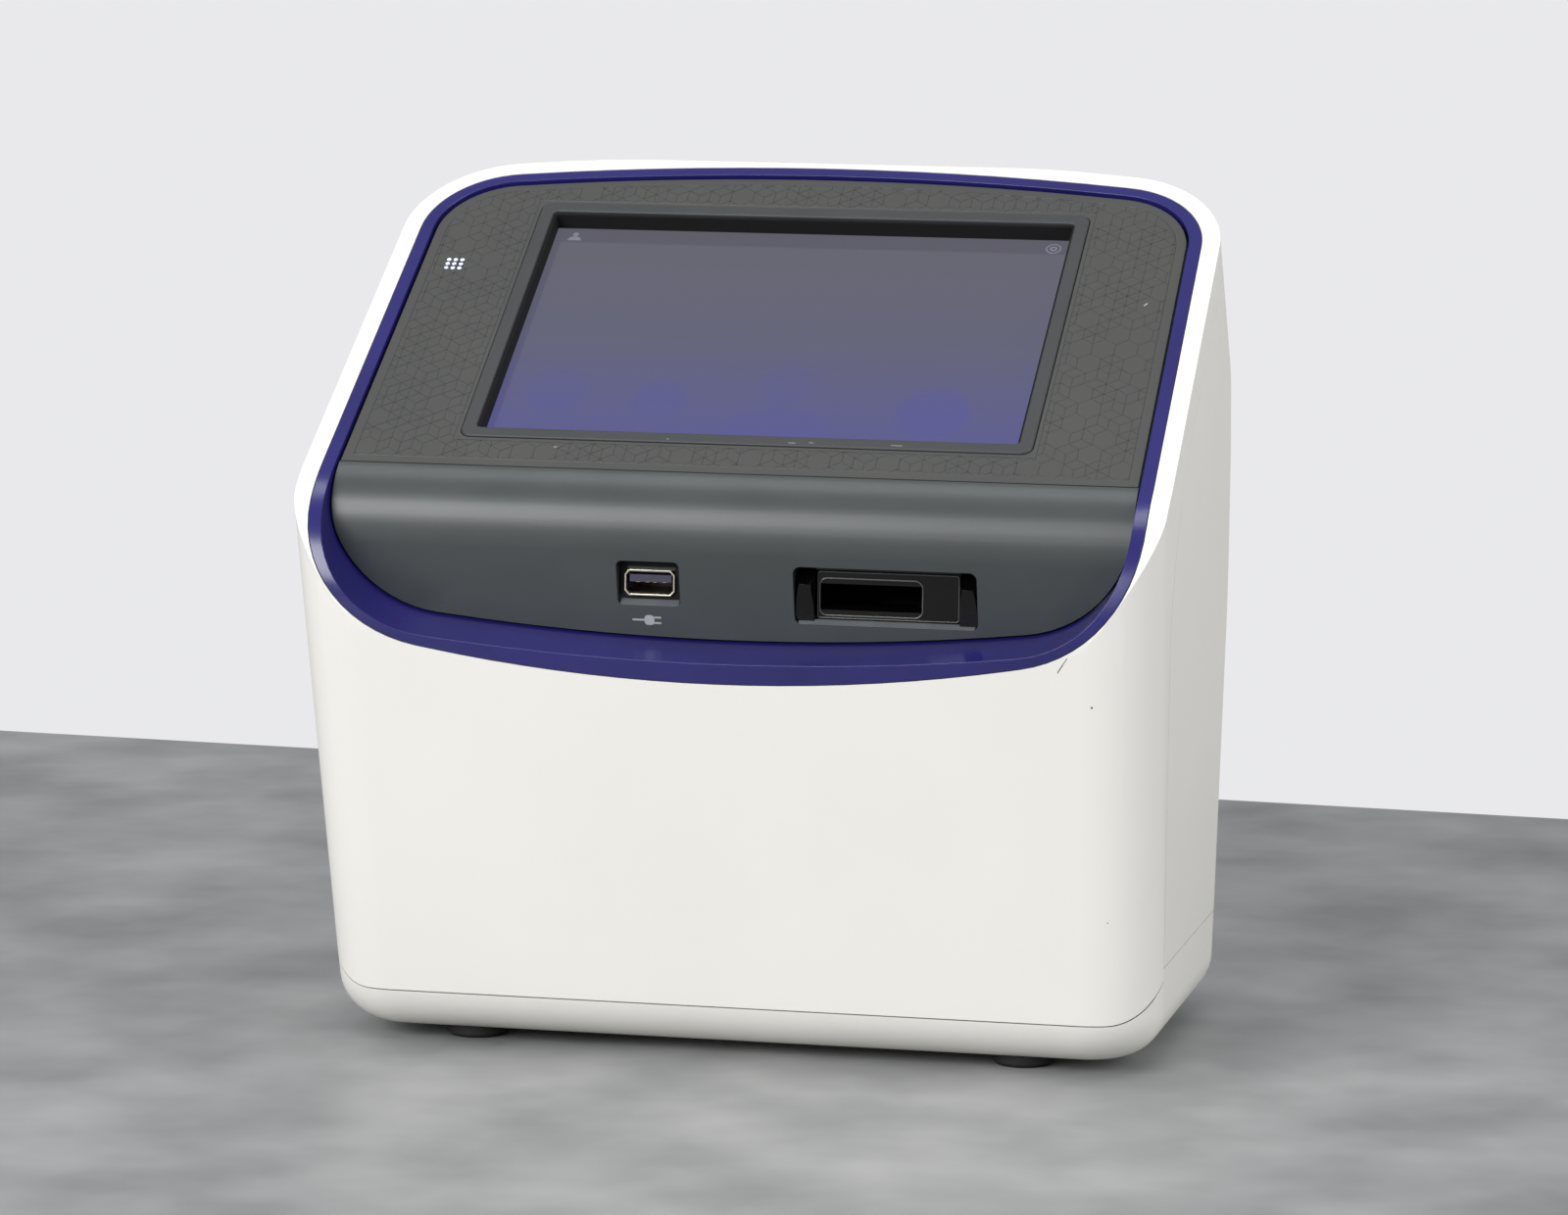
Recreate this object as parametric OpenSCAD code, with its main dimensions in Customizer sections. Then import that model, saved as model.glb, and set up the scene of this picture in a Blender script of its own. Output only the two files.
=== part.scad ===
// Automated cell counter: a bench instrument with a sloping touch screen, a slide port and a
// USB socket in its front, and the lamp, objective, light cubes and camera that count the cells.
// Sizes are millimetres. X runs across the front, Y runs to the back and Z runs up.
// The feet stand on Z = 0, and the housing is centred on X = 0 and Y = 0.

/* [Housing] */
// overall width across the side walls
housing_width = 229; // [200:1:280]
// overall depth from the chin to the rear wall
housing_depth = 142; // [132:1:180]
// overall height from the table to the top ridge
housing_height = 229; // [215:1:260]
// wall thickness of the white shells
wall = 2.6; // [2:0.1:4]
// tilt of the screen panel away from upright, in degrees
panel_tilt = 57; // [52:0.5:60]
// backward lean of the front face under the chin, in degrees
front_lean = 13.5; // [6:0.5:16]
// radius of the bend at the chin
chin_radius = 38; // [30:1:44]
// radius of the upright front corners
front_corner = 20; // [12:1:26]
// radius of the upright rear corners
rear_corner = 15; // [8:1:22]
// radius of the two top corners, in the plane of the panel
top_corner = 31; // [22:1:40]
// radius of the gentle arch of the top edge
top_crown = 634; // [400:2:1200]
// radius of the top ridge, seen from the side
ridge_radius = 5; // [3.5:0.5:8]
// how far the ridge stands in front of the rear wall
ridge_set = 1; // [0.5:0.5:4]
// outward draft of the side walls, from the base to the widest height, in degrees
side_draft = 1.4; // [0.4:0.1:2.5]
// inward taper of the side walls above the widest height, in degrees
side_taper = 1.9; // [0.5:0.1:3]
// height of the widest place of the side walls
wide_height = 154; // [140:1:170]
// gap between shells that meet at a seam
seam_gap = 0.35; // [0.2:0.05:0.8]

/* [Shell seams] */
// depth of the side seam under the sloping rim, square to it
seam_offset = 10.5; // [8:0.5:18]
// radius of the side seam behind the chin
seam_radius = 55; // [40:1:70]
// distance of the lower side seam behind the front of the chin
seam_back = 28.5; // [24:0.5:40]
// backward lean of the lower side seam, in degrees
seam_lean = 8.6; // [4:0.2:12]
// height of the base seam across the front
front_seam = 14.7; // [13:0.1:18]
// height of the base seam along the sides and the back
side_seam = 28; // [24:0.5:34]
// radius of the lower corners of the front shell
front_seam_corner = 13; // [8:0.5:16]
// radius under the front and the rear edge of the base
base_edge = 10; // [6:0.5:12]
// radius under the side edges of the base
base_side_edge = 18; // [12:1:22]

/* [Feet] */
// height of the underside of the base over the table
foot_height = 3; // [2:0.25:5]
// diameter of a rubber foot
foot_diameter = 16; // [10:1:20]
// distance of the feet from the side walls
foot_in = 40.5; // [38:0.5:60]
// distance of the front feet in front of the middle
foot_front = 26; // [18:1:30]
// distance of the rear feet behind the middle
foot_rear = 50; // [35:1:54]
// depth of the seat that holds a foot
foot_seat = 1; // [0.5:0.1:1.6]

/* [Trim ring] */
// width of the white rim outside the trim ring
rim_width = 4.8; // [3.5:0.1:8]
// width of the trim ring along the sides and the top
ring_width = 3.6; // [2.5:0.1:6]
// height of the lower edge of the trim ring at the middle
ring_bottom = 102.6; // [98:0.2:108]
// corner radius of the trim ring at the chin
ring_corner = 37; // [28:1:46]
// radius of the gentle arch of the lower edge of the trim ring
ring_crown = 436; // [300:2:900]
// rise from the lower edge of the ring to the lower edge of the fascia
ring_rise = 7.7; // [5:0.1:12]
// fall of the ledge of the ring towards the front, in degrees
ledge_fall = 11; // [4:0.5:16]
// gap between the trim ring and the front shell
ring_gap = 0.2; // [0.1:0.05:0.5]
// shadow gap between the trim ring and the fascia
shadow_gap = 0.6; // [0.4:0.05:1.2]

/* [Screen panel] */
// height of the sloping rim over the face of the panel
panel_drop = 0.9; // [0.4:0.1:2]
// distance of the lower edge of the panel above the chin bend, up the slope
panel_start = 5; // [2:0.5:10]
// thickness of the patterned overlay
overlay_thickness = 1.2; // [0.8:0.1:2]
// thickness of the moulded bezel and fascia
bezel_thickness = 2.6; // [2:0.1:3.5]
// radius of the fold between the panel and the fascia
fold_radius = 19; // [14:0.5:24]
// width of the screen window
window_width = 144.4; // [120:0.5:156]
// height of the screen window, up the slope
window_height = 95; // [75:0.5:99]
// distance of the middle of the window below the middle of the panel
window_drop = 1; // [-2:0.1:3]
// width of the raised lip around the window
lip_width = 3.8; // [2.5:0.1:5]
// height of the lip over the panel
lip_height = 0.5; // [0.2:0.1:0.8]
// depth of the touch glass under the face of the panel
glass_depth = 5; // [4.5:0.1:7]
// thickness of the touch glass
glass_thickness = 1.1; // [0.7:0.1:2]
// thickness of the display module
display_thickness = 5.4; // [3:0.2:7]
// height of the status dots above the lower edge of the panel
dots_up = 86.2; // [40:0.2:100]
// distance of the status dots from the left edge of the panel
dots_in = 11.2; // [9.2:0.1:16]
// spacing of the status dots
dot_pitch = 1.85; // [1.7:0.05:2.2]
// diameter of a status dot
dot_diameter = 1.1; // [0.8:0.05:1.2]

/* [USB socket] */
// distance of the middle of the USB socket from the middle of the front
usb_side = 20.9; // [14:0.1:30]
// height of the middle of the USB socket
usb_height = 126.4; // [124:0.1:129]
// depth of the front edge of the USB socket behind the fascia
usb_depth = 1.7; // [1.4:0.1:3]
// width of the recess around the USB socket
usb_recess_width = 16.7; // [15.5:0.1:20]
// height of the recess around the USB socket
usb_recess_height = 11.8; // [10.5:0.1:14]
// width of the metal shell of the USB socket
usb_shell_width = 13.3; // [12.9:0.1:13.8]
// height of the metal shell of the USB socket
usb_shell_height = 6; // [5.7:0.1:6.4]
// depth of the metal shell of the USB socket
usb_shell_depth = 17; // [14:0.5:22]

/* [Slide port] */
// distance of the middle of the slide port from the middle of the front
port_side = 41.4; // [38:0.1:50]
// height of the middle of the slide port
port_height = 124.7; // [123:0.1:127]
// width of the recess of the slide port
port_width = 48; // [46:0.2:54]
// height of the recess of the slide port
port_rise = 15.3; // [14.6:0.1:17]
// depth of the slide carriage behind the fascia, at the middle of the port
port_depth = 4.5; // [4.3:0.1:6]
// width of the face of the slide carriage
face_width = 37.4; // [36:0.2:40]
// height of the face of the slide carriage
face_height = 12.4; // [12:0.1:13]
// width of the slot that takes the slide
slot_width = 26.7; // [25.6:0.1:28]
// height of the slot at its front edge
slot_height = 6.4; // [5:0.1:7]
// height of the slide channel behind the slot
channel_height = 4.6; // [4.4:0.1:5]
// how far the middle of the slot lies left of the middle of the face
slot_shift = 4.5; // [0:0.1:4.8]
// travel of the slide carriage when a slide is pushed home
carriage_travel = 6; // [3:0.5:8]
// clearance between the slide carriage and the guide on each side
carriage_play = 0.4; // [0.3:0.05:0.8]

/* [Optics] */
// distance of the optical axis behind the middle of the housing
axis_y = 2; // [-2:0.5:4]
// diameter of the objective barrel
objective_diameter = 22; // [16:0.5:24]
// length of the objective barrel over its carriage
objective_length = 24; // [18:0.5:25]
// edge of a light cube
cube_size = 24; // [20:0.5:25]
// distance between the two light cubes, and the travel of their shuttle
cube_pitch = 28; // [27:0.5:30]
// travel of the focus carriage up and down from the middle
focus_travel = 4; // [2:0.5:5]
// diameter of the focus guide rods
rod_diameter = 5; // [4:0.5:6]
// diameter of the focus screw
screw_diameter = 6; // [5:0.5:7]
// radial play of a sliding bore or a turning journal
running_play = 0.06; // [0.03:0.01:0.1]

/* [Rear fittings] */
// distance of the power inlet from the side wall on its own side
inlet_in = 52.5; // [45:0.5:64]
// height of the power inlet and the switch
fittings_height = 50; // [46:1:60]
// distance between the power inlet and the switch
switch_gap = 26; // [24:1:30]
// width of the opening of the rocker switch
rocker_width = 9.6; // [8:0.2:12]
// height of the opening of the rocker switch
rocker_height = 17; // [14:0.5:20]
// swing of the rocker to each side, in degrees
rocker_swing = 9; // [5:0.5:12]
// number of slots in the rear vent
vent_count = 11; // [6:1:13]
// spacing of the slots in the rear vent
vent_pitch = 6; // [5:0.25:6.5]
// width of a vent slot
vent_width = 2.2; // [1.6:0.1:3]
// height of a vent slot
vent_height = 34; // [20:1:44]

/* [Hidden] */
big = 420;
hair = 0.05;
sin_t = sin(panel_tilt);
cos_t = cos(panel_tilt);
front_y = -housing_depth / 2;
rear_y = housing_depth / 2;
half_w = housing_width / 2;
// the ridge circle, the chin circle and the lines they carry, as [y, z]
ridge_c = [rear_y - ridge_set - ridge_radius, housing_height - ridge_radius];
chin_y = front_y + chin_radius;
chin_c = [chin_y, ridge_c[1] + (ridge_radius - chin_radius + (chin_y - ridge_c[0]) * cos_t) / sin_t];
n_slope = [-cos_t, sin_t];
d_slope = [sin_t, cos_t];
n_lean = [-cos(front_lean), -sin(front_lean)];
lean_k = chin_c * n_lean + chin_radius;
slope_k = ridge_c * n_slope + ridge_radius;
// the upper part of the rear wall leans in to the ridge
back_a = atan(ridge_set / 45);
n_back = [cos(back_a), sin(back_a)];
back_k = ridge_c * n_back + ridge_radius;
// the drafted side plane: x cos(draft) - z sin(draft) = draft_k
draft_k = half_w * cos(side_draft) - wide_height * sin(side_draft);
taper_k = half_w * cos(side_taper) + wide_height * sin(side_taper);
// the panel frame: its origin is the middle of the lower edge of the overlay
panel_o = chin_c + chin_radius * n_slope + panel_start * d_slope - panel_drop * n_slope;
plane_taper = atan(tan(side_taper) * cos_t);
// height of the ridge line over the panel origin, up the slope
crest_s = (ridge_c - panel_o) * d_slope;
panel_top = crest_s + ridge_radius - 1 - rim_width - ring_width - shadow_gap;
wide_s = (wide_height - panel_o[1]) / cos_t;
side_k = half_w * cos(plane_taper) + wide_s * sin(plane_taper);
fold_c = panel_o - fold_radius * n_slope;
// inner outline of the ring at the chin
ring_half = half_w - rim_width;
inner_half = ring_half - ring_width;
inner_bottom = ring_bottom + ring_rise;
bezel_gap = shadow_gap;
window_mid = panel_top / 2 - window_drop;
window_start = window_mid - window_height / 2;
dots_side = inner_half - dots_in;
usb_x = -usb_side;
port_x = port_side;
slot_x = port_x - slot_shift;
slide_z = port_height - 0.5;
// planes of the inner parts
plate_z = foot_height + wall + 3.4;
plate_t = 2;
deck_z = plate_z + plate_t;
stage_z = 108;
stage_t = 4;
// the fascia leans like the front: its place in depth at the height z
fascia_k = fold_c * n_lean + fold_radius;
function fascia_y(z) = -(fascia_k + sin(front_lean) * z) / cos(front_lean);
face_y = fascia_y(port_height) + port_depth;
socket_y = fascia_y(usb_height) + usb_depth;
plate_back = face_y + 2.5;
frame_back = face_y + 10;
// the slide stops behind the optical axis, and the tray ends behind the stop
slide_stop = axis_y + 16;
tray_back = slide_stop + 4;
tray_front = frame_back + 6.4;
tray_half = slot_width / 2 + 2.8;
tray_low = slide_z - channel_height / 2 - 2;
tray_high = slide_z + channel_height / 2 + 2;
guide_half = tray_half + carriage_play + 4;
guide_top = tray_high + 2.6;
focus_z = 74;
rod_x = 17;
rod_y = axis_y + 28;
rail_y = 17;
rail_d = 5;
cube_z = deck_z + 37;
rail_z = cube_z - 3;
shuttle_low = slot_x - cube_pitch - cube_size / 2 - 1;
shuttle_high = slot_x + cube_size / 2 + 1;
rail_low = shuttle_low - 15;
rail_high = shuttle_high + cube_pitch + 7;
inlet_x = inlet_in - half_w;
switch_x = inlet_x - switch_gap;
supply_x = 14.5 - half_w;
driver_x = 50.5 - half_w;
boss_x = half_w - 26.5;
foot_x = half_w - foot_in;
boss_front = -28;
boss_rear = 50;
glass_z = -glass_depth - glass_thickness;
display_z = glass_z - display_thickness;
board_z = display_z - 1.6;
main_z = board_z - 5;
$fn = 48;

// unit vector, quarter turn, and the meeting of two lines n * p = k
function unit(v) = v / norm(v);
function turn(v) = [v[1], -v[0]];
function meet(n, k, m, j) = [k * m[1] - j * n[1], n[0] * j - m[0] * k] / (n[0] * m[1] - n[1] * m[0]);
// an outline, counter-clockwise, with every edge moved in by t
function drawn_in(p, t) = [for (i = [0:len(p) - 1])
  let (a = p[(i + len(p) - 1) % len(p)], b = p[i], c = p[(i + 1) % len(p)],
       n = turn(unit(b - a)), m = turn(unit(c - b)))
  meet(n, n * b - t, m, m * b - t)];

module along_x(w) rotate([90, 0, 90]) translate([0, 0, -w / 2]) linear_extrude(w) children();
module along_y(a, b) translate([0, b, 0]) rotate([90, 0, 0]) linear_extrude(b - a) children();
module on_panel() translate([0, panel_o[0], panel_o[1]]) rotate([90 - panel_tilt, 0, 0]) children();
module mirrored() { children(); mirror([1, 0, 0]) children(); }
module slab(x0, x1, y0, y1, z0, z1) translate([x0, y0, z0]) cube([x1 - x0, y1 - y0, z1 - z0]);
module post(x, y, z0, z1, d) translate([x, y, z0]) cylinder(d = d, h = z1 - z0);

// a polygon whose corners are rounded with true arcs; a radius of 0 leaves a corner sharp
module rounded(p, radii) {
  difference() {
    polygon(p);
    for (i = [0:len(p) - 1]) if (radii[i] > 0) {
      v = p[i];
      u = unit(p[(i + len(p) - 1) % len(p)] - v);
      w = unit(p[(i + 1) % len(p)] - v);
      half = acos(u * w) / 2;
      r = radii[i];
      c = v + unit(u + w) * r / sin(half);
      a = v + u * r / tan(half);
      b = v + w * r / tan(half);
      k = 1 + min(0.5, 20 / r);
      difference() {
        polygon([c, c + k * (a - c), c + k * (v - c), c + k * (b - c)]);
        translate(c) circle(r, $fn = r > 100 ? 360 : r > 25 ? 96 : 48);
      }
    }
  }
}
// points of a small arc in place of the corner v, laid as n chords
function chords(a, v, b, r, n) =
  let (u = unit(a - v), w = unit(b - v), half = acos(u * w) / 2, c = v + unit(u + w) * r / sin(half),
       p = v + u * r / tan(half) - c, sweep = 180 - 2 * half)
  [for (i = [0:n]) c + [p[0] * cos(i * sweep / n) - p[1] * sin(i * sweep / n),
                        p[0] * sin(i * sweep / n) + p[1] * cos(i * sweep / n)]];
module rect(w, h, r) rounded([[-w, -h], [w, -h], [w, h], [-w, h]] / 2, [r, r, r, r]);

// side view of the housing, drawn in by t, as [y, z]
side_p = [
  meet([0, -1], -foot_height, n_lean, lean_k), meet(n_lean, lean_k, n_slope, slope_k),
  meet(n_slope, slope_k, n_back, back_k), meet(n_back, back_k, [1, 0], rear_y), [rear_y, foot_height]
];
module side_outline(t) {
  p = drawn_in([side_p[4], side_p[3], side_p[2], side_p[1], side_p[0]], t);
  front = chords(p[3], p[4], p[0], base_edge - t, 8);
  rear = chords(p[4], p[0], p[1], base_edge - t, 8);
  rounded(concat(front, rear, [p[1], p[2], p[3]]),
    [for (i = [0:20]) i == 19 ? (t > 0 ? 0 : ridge_radius) : i == 20 ? chin_radius - t : 0]);
}

// front view of the housing, drawn in by t, as [x, z]
module front_outline(t) {
  low = foot_height - hair;
  b = (draft_k + sin(side_draft) * low) / cos(side_draft);
  top = housing_height + 30;
  h = (taper_k - sin(side_taper) * top) / cos(side_taper);
  p = [[-b, low], [b, low], [half_w, wide_height], [h, top], [-h, top], [-half_w, wide_height]];
  e = base_side_edge - t;
  rounded(drawn_in(p, t), [e, e, 0, 0, 0, 0]);
}

// outline of the panel drawn in by t, with sharp corners, as [x, distance up the slope]
function panel_corners(t) =
  let (low = -260, a = 0.96 * asin((half_w - top_corner) / (top_crown - top_corner)),
       top = crest_s + ridge_radius - 1, n = [sin(a), cos(a)], k = n * [0, top - top_crown] + top_crown,
       m = [cos(plane_taper), sin(plane_taper)], v = meet(n, k, m, side_k), w = (side_k - m[1] * low) / m[0])
  drawn_in([[-w, low], [w, low], v, [0, k / n[1]], [-v[0], v[1]]], t);
module panel_outline(t)
  rounded(panel_corners(t), [0, 0, top_corner - t, top_crown - t, top_corner - t]);
// the same outline for the opening of the ring, with its arcs laid as short chords
module ring_outline(t) {
  p = panel_corners(t);
  polygon(concat([p[0], p[1]], chords(p[1], p[2], p[3], top_corner - t, 14),
    chords(p[2], p[3], p[4], top_crown - t, 14), chords(p[3], p[4], p[0], top_corner - t, 14)));
}

// opening outline at the chin as [x, z]: half width, lowest point, corner radius, arch radius
module chin_outline(hw, low, r, crown, t) {
  top = housing_height + 60;
  a = 0.96 * asin((hw - r) / (crown - r));
  n = [sin(a), -cos(a)];
  k = n * [0, low + crown] + crown;
  v = meet(n, k, [1, 0], hw);
  p = drawn_in([[0, k / n[1]], v, [hw, top], [-hw, top], [-v[0], v[1]]], t);
  polygon(concat(chords(p[4], p[0], p[1], crown - t, 18), chords(p[0], p[1], p[2], r - t, 14),
    [p[2], p[3]], chords(p[3], p[4], p[0], r - t, 14)));
}

// rounding of one upright corner, with the radius r, the axis through c and the tilt a
module corner_cut(c, a, r, side) {
  translate(c) rotate(a) linear_extrude(360, center = true) difference() {
    translate([0, side > 0 ? 0 : -r - 14]) square([r + 14, r + 14]);
    circle(r + hair);
  }
}

// the whole outer form of the housing, drawn in by t
module housing(t) {
  fr = front_corner - t;
  rr = rear_corner - t;
  zq = 60;
  fx = (draft_k - front_corner + sin(side_draft) * zq) / cos(side_draft);
  fy = -(lean_k - front_corner + sin(front_lean) * zq) / cos(front_lean);
  rx = (draft_k - rear_corner + sin(side_draft) * zq) / cos(side_draft);
  ux = (taper_k - rear_corner - sin(side_taper) * 200) / cos(side_taper);
  difference() {
    intersection() {
      along_x(housing_width + 40) side_outline(t);
      along_y(-big / 2, big / 2) front_outline(t);
      on_panel() translate([0, 0, -300]) linear_extrude(340) panel_outline(t);
    }
    mirrored() translate([fx, fy, zq]) rotate([front_lean, 0, 0])
      corner_cut([0, 0, 0], [0, atan(tan(side_draft) * cos(front_lean)), 0], fr, -1);
    mirrored() corner_cut([rx, rear_y - rear_corner, zq], [0, side_draft, 0], rr, 1);
    mirrored() corner_cut([ux, rear_y - rear_corner, 200], [0, -side_taper, 0], rr, 1);
  }
}

// everything behind the side seam, as [y, z], moved back by g
module behind_seam(g) {
  k = slope_k - seam_offset - g;
  nl = [-cos(seam_lean), -sin(seam_lean)];
  kl = [front_y + seam_back + g, 105] * nl;
  v = meet(n_slope, k, nl, kl);
  top = v + 300 * d_slope;
  low = meet(nl, kl, [0, -1], 60);
  rounded([low, [big, -60], [big, top[1]], top, v], [0, 0, 0, 0, seam_radius]);
}

// the zone of the front shell over the base seam, as [x, z], drawn in by g
module front_floor(g) {
  r = front_seam_corner;
  hw = half_w - tan(side_draft) * (wide_height - side_seam) + 0.3;
  z0 = front_seam + g;
  z1 = z0 + r + 0.5;
  rounded([[-hw, z0], [hw, z0], [hw, z1], [hw + 60, z1], [hw + 60, 400], [-hw - 60, 400], [-hw - 60, z1], [-hw, z1]],
    [r, r, 0, 0, 0, 0, 0, 0]);
}

// the opening for the trim ring, drawn in by t
module ring_opening(t) {
  intersection() {
    along_y(-big / 2, rear_y - 3) chin_outline(ring_half, ring_bottom, ring_corner, ring_crown, t);
    on_panel() translate([0, 0, -150]) linear_extrude(230) ring_outline(rim_width + t);
  }
}

// the opening inside the trim ring, drawn in by t
module inner_opening(t) {
  intersection() {
    translate([0, fold_c[0] - fold_radius, inner_bottom]) rotate([ledge_fall, 0, 0])
      translate([0, 0, -inner_bottom]) along_y(-100, 150)
        chin_outline(inner_half, inner_bottom, ring_corner - 5, 650, t);
    on_panel() translate([0, 0, -150]) linear_extrude(230) panel_outline(rim_width + ring_width + t);
  }
}

// everything behind the bezel face, drawn in by t, as [y, z]
module behind_bezel(t) {
  k = panel_o * n_slope - t;
  kl = fold_c * n_lean + fold_radius - t;
  v = meet(n_slope, k, n_lean, kl);
  top = v + 330 * d_slope;
  low = meet(n_lean, kl, [0, -1], -60);
  rounded([low, [big, 60], [big, top[1]], top, v], [0, 0, 0, 0, fold_radius - t]);
}

module front_shell() color([0.93, 0.93, 0.91]) {
  intersection() {
    difference() {
      difference() {
        housing(0);
        housing(wall);
      }
      along_x(housing_width + 31) behind_seam(0);
      ring_opening(0);
    }
    along_y(-big, big) front_floor(0);
  }
}

module rear_shell() color([0.90, 0.90, 0.88]) {
  first = port_x - 8 - (vent_count - 1) / 2 * vent_pitch;
  difference() {
    intersection() {
      housing(0);
      along_x(2 * big) intersection() {
        behind_seam(seam_gap);
        translate([-200, side_seam]) square([400, 400]);
      }
    }
    housing(wall);
    for (i = [0:vent_count - 1]) along_y(rear_y - wall - 2, rear_y + 2)
      translate([first + i * vent_pitch, 112]) rect(vent_width, vent_height, vent_width / 2 - 0.1);
    along_y(rear_y - wall - 2, rear_y + 2) {
      translate([inlet_x, fittings_height]) rect(27.4, 19.9, 1.5);
      translate([switch_x, fittings_height]) square([12.4, rocker_height + 2.8], center = true);
    }
  }
}

module base_tray() color([0.91, 0.91, 0.89]) {
  difference() {
    union() {
      difference() {
        intersection() {
          housing(0);
          union() {
            slab(-big, big, -big, big, -10, front_seam - seam_gap);
            difference() {
              slab(-big, big, -big, big, front_seam - seam_gap - 5, side_seam - seam_gap);
              intersection() {
                along_x(2 * big) difference() {
                  translate([-200, -10]) square([400, 400]);
                  behind_seam(seam_gap);
                }
                along_y(-big, big) front_floor(-seam_gap);
              }
            }
          }
        }
        housing(wall);
      }
      mirrored() for (y = [boss_front, boss_rear])
        post(boss_x, y, foot_height + wall - 1, plate_z, 8);
    }
    mirrored() for (y = [-foot_front, foot_rear])
      post(foot_x, y, foot_height - 1, foot_height + foot_seat, foot_diameter + 0.4);
    mirrored() for (y = [boss_front, boss_rear]) {
      post(boss_x, y, foot_height - 1, foot_height + 1.8, 6.6);
      post(boss_x, y, foot_height, plate_z + 1, 3.3);
    }
    for (i = [-4:4]) translate([i * 9, 12, foot_height - 1]) linear_extrude(wall + 2) rect(3, 34, 1.4);
  }
}

module feet() color([0.13, 0.13, 0.13]) {
  mirrored() for (y = [-foot_front, foot_rear]) translate([foot_x, y, 0]) rotate_extrude() polygon([
    [0, 0], [foot_diameter / 2 - 1, 0], [foot_diameter / 2, 1], [foot_diameter / 2, foot_height + foot_seat],
    [0, foot_height + foot_seat]]);
}

module housing_screws() color([0.55, 0.55, 0.56]) {
  mirrored() for (y = [boss_front, boss_rear]) {
    difference() {
      post(boss_x, y, foot_height + 0.1, foot_height + 1.8, 6);
      translate([boss_x, y, foot_height - 1]) cylinder(d = 2.9, h = 2.1, $fn = 6);
    }
    post(boss_x, y, foot_height + 1.7, deck_z - 0.1, 3);
  }
}

module trim_ring() color([0.18, 0.17, 0.45]) {
  difference() {
    intersection() {
      housing(0);
      ring_opening(ring_gap);
    }
    along_x(2 * big) behind_bezel(bezel_thickness);
    inner_opening(0);
  }
}

// a lug of the bezel behind the trim ring, at the height s up the slope
module ring_lug(s) {
  hw = ring_half - (s > 70 ? 1.6 : 0.9);
  translate([0, s, -bezel_thickness - 2.4]) {
    translate([inner_half - 9, 0, 0]) cube([hw - inner_half + 9, 9, 2.4]);
    translate([inner_half - 9, 0, 0]) cube([6.5, 9, 3.4]);
  }
}

module fascia_bezel() color([0.27, 0.28, 0.29]) {
  difference() {
    union() {
      intersection() {
        along_x(2 * big) difference() {
          behind_bezel(0);
          behind_bezel(bezel_thickness);
        }
        inner_opening(bezel_gap);
      }
      on_panel() {
        mirrored() for (s = [14, 54, 94]) ring_lug(s);
        mirrored() for (s = [window_start - 8, window_start + window_height + 4])
          post(window_width / 2 + 11.8, s, display_z, -bezel_thickness + 0.5, 7);
      }
      intersection() {
        union() {
          along_y(face_y - 12, face_y + 8)
            translate([port_x, port_height]) rect(port_width + 3.2, port_rise + 3.2, 3.6);
          along_y(socket_y - 9, socket_y + 3.6)
            translate([usb_x, usb_height]) rect(usb_recess_width + 3, usb_recess_height + 3, 3);
          slab(usb_x - 8, usb_x + 8, socket_y + 2.2, socket_y + 14.2, usb_height - usb_shell_height / 2 - 3.6,
            usb_height - usb_shell_height / 2 - 1.6);
        }
        along_x(2 * big) behind_bezel(bezel_thickness / 2);
      }
    }
    on_panel() {
      translate([-big, 0, -overlay_thickness]) cube([2 * big, big, 10]);
      translate([0, window_mid, -20]) linear_extrude(40)
        rect(window_width + 2 * lip_width + 0.4, window_height + 2 * lip_width + 0.4, 3.2);
      for (i = [-1:1], j = [-1:1])
        post(-dots_side + i * dot_pitch, dots_up + j * dot_pitch, -6, 2, dot_diameter + 0.2);
    }
    along_y(face_y - 14, face_y + 20)
      translate([port_x, port_height]) rect(port_width, port_rise, 2);
    along_y(socket_y - 11, socket_y + 2)
      translate([usb_x, usb_height]) rect(usb_recess_width, usb_recess_height, 1.5);
    along_y(socket_y - 11, socket_y + 5.2)
      translate([usb_x, usb_height]) square([usb_shell_width + 0.2, usb_shell_height + 0.2], center = true);
  }
}

module overlay_panel() color([0.35, 0.36, 0.35]) {
  on_panel() difference() {
    translate([0, 0, -overlay_thickness]) linear_extrude(overlay_thickness) difference() {
      panel_outline(rim_width + ring_width + bezel_gap + 0.2);
      translate([-big, -big + 0.2]) square([2 * big, big]);
      translate([0, window_mid])
        rect(window_width + 2 * lip_width + 0.4, window_height + 2 * lip_width + 0.4, 3.2);
    }
    for (i = [-1:1], j = [-1:1])
      post(-dots_side + i * dot_pitch, dots_up + j * dot_pitch, -3, 2, dot_diameter + 0.2);
  }
}

module screen_lip() color([0.30, 0.31, 0.31]) {
  on_panel() translate([0, window_mid, 0]) difference() {
    union() {
      translate([0, 0, -glass_depth]) linear_extrude(glass_depth + lip_height)
        rect(window_width + 2 * lip_width, window_height + 2 * lip_width, 3);
      translate([0, 0, -glass_depth]) linear_extrude(glass_depth - bezel_thickness)
        rect(window_width + 2 * lip_width + 6, window_height + 2 * lip_width + 4, 3);
    }
    translate([0, 0, -20]) linear_extrude(40) rect(window_width, window_height, 1.2);
  }
}

module touch_glass() color([0.25, 0.25, 0.33]) {
  on_panel() translate([0, window_mid, glass_z]) linear_extrude(glass_thickness)
    rect(window_width + 2 * lip_width + 4, window_height + 2 * lip_width + 2, 2);
}

module display_module() color([0.62, 0.63, 0.64]) {
  on_panel() translate([0, window_mid, display_z]) linear_extrude(display_thickness)
    square([window_width + 11, window_height + 7], center = true);
}

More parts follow.
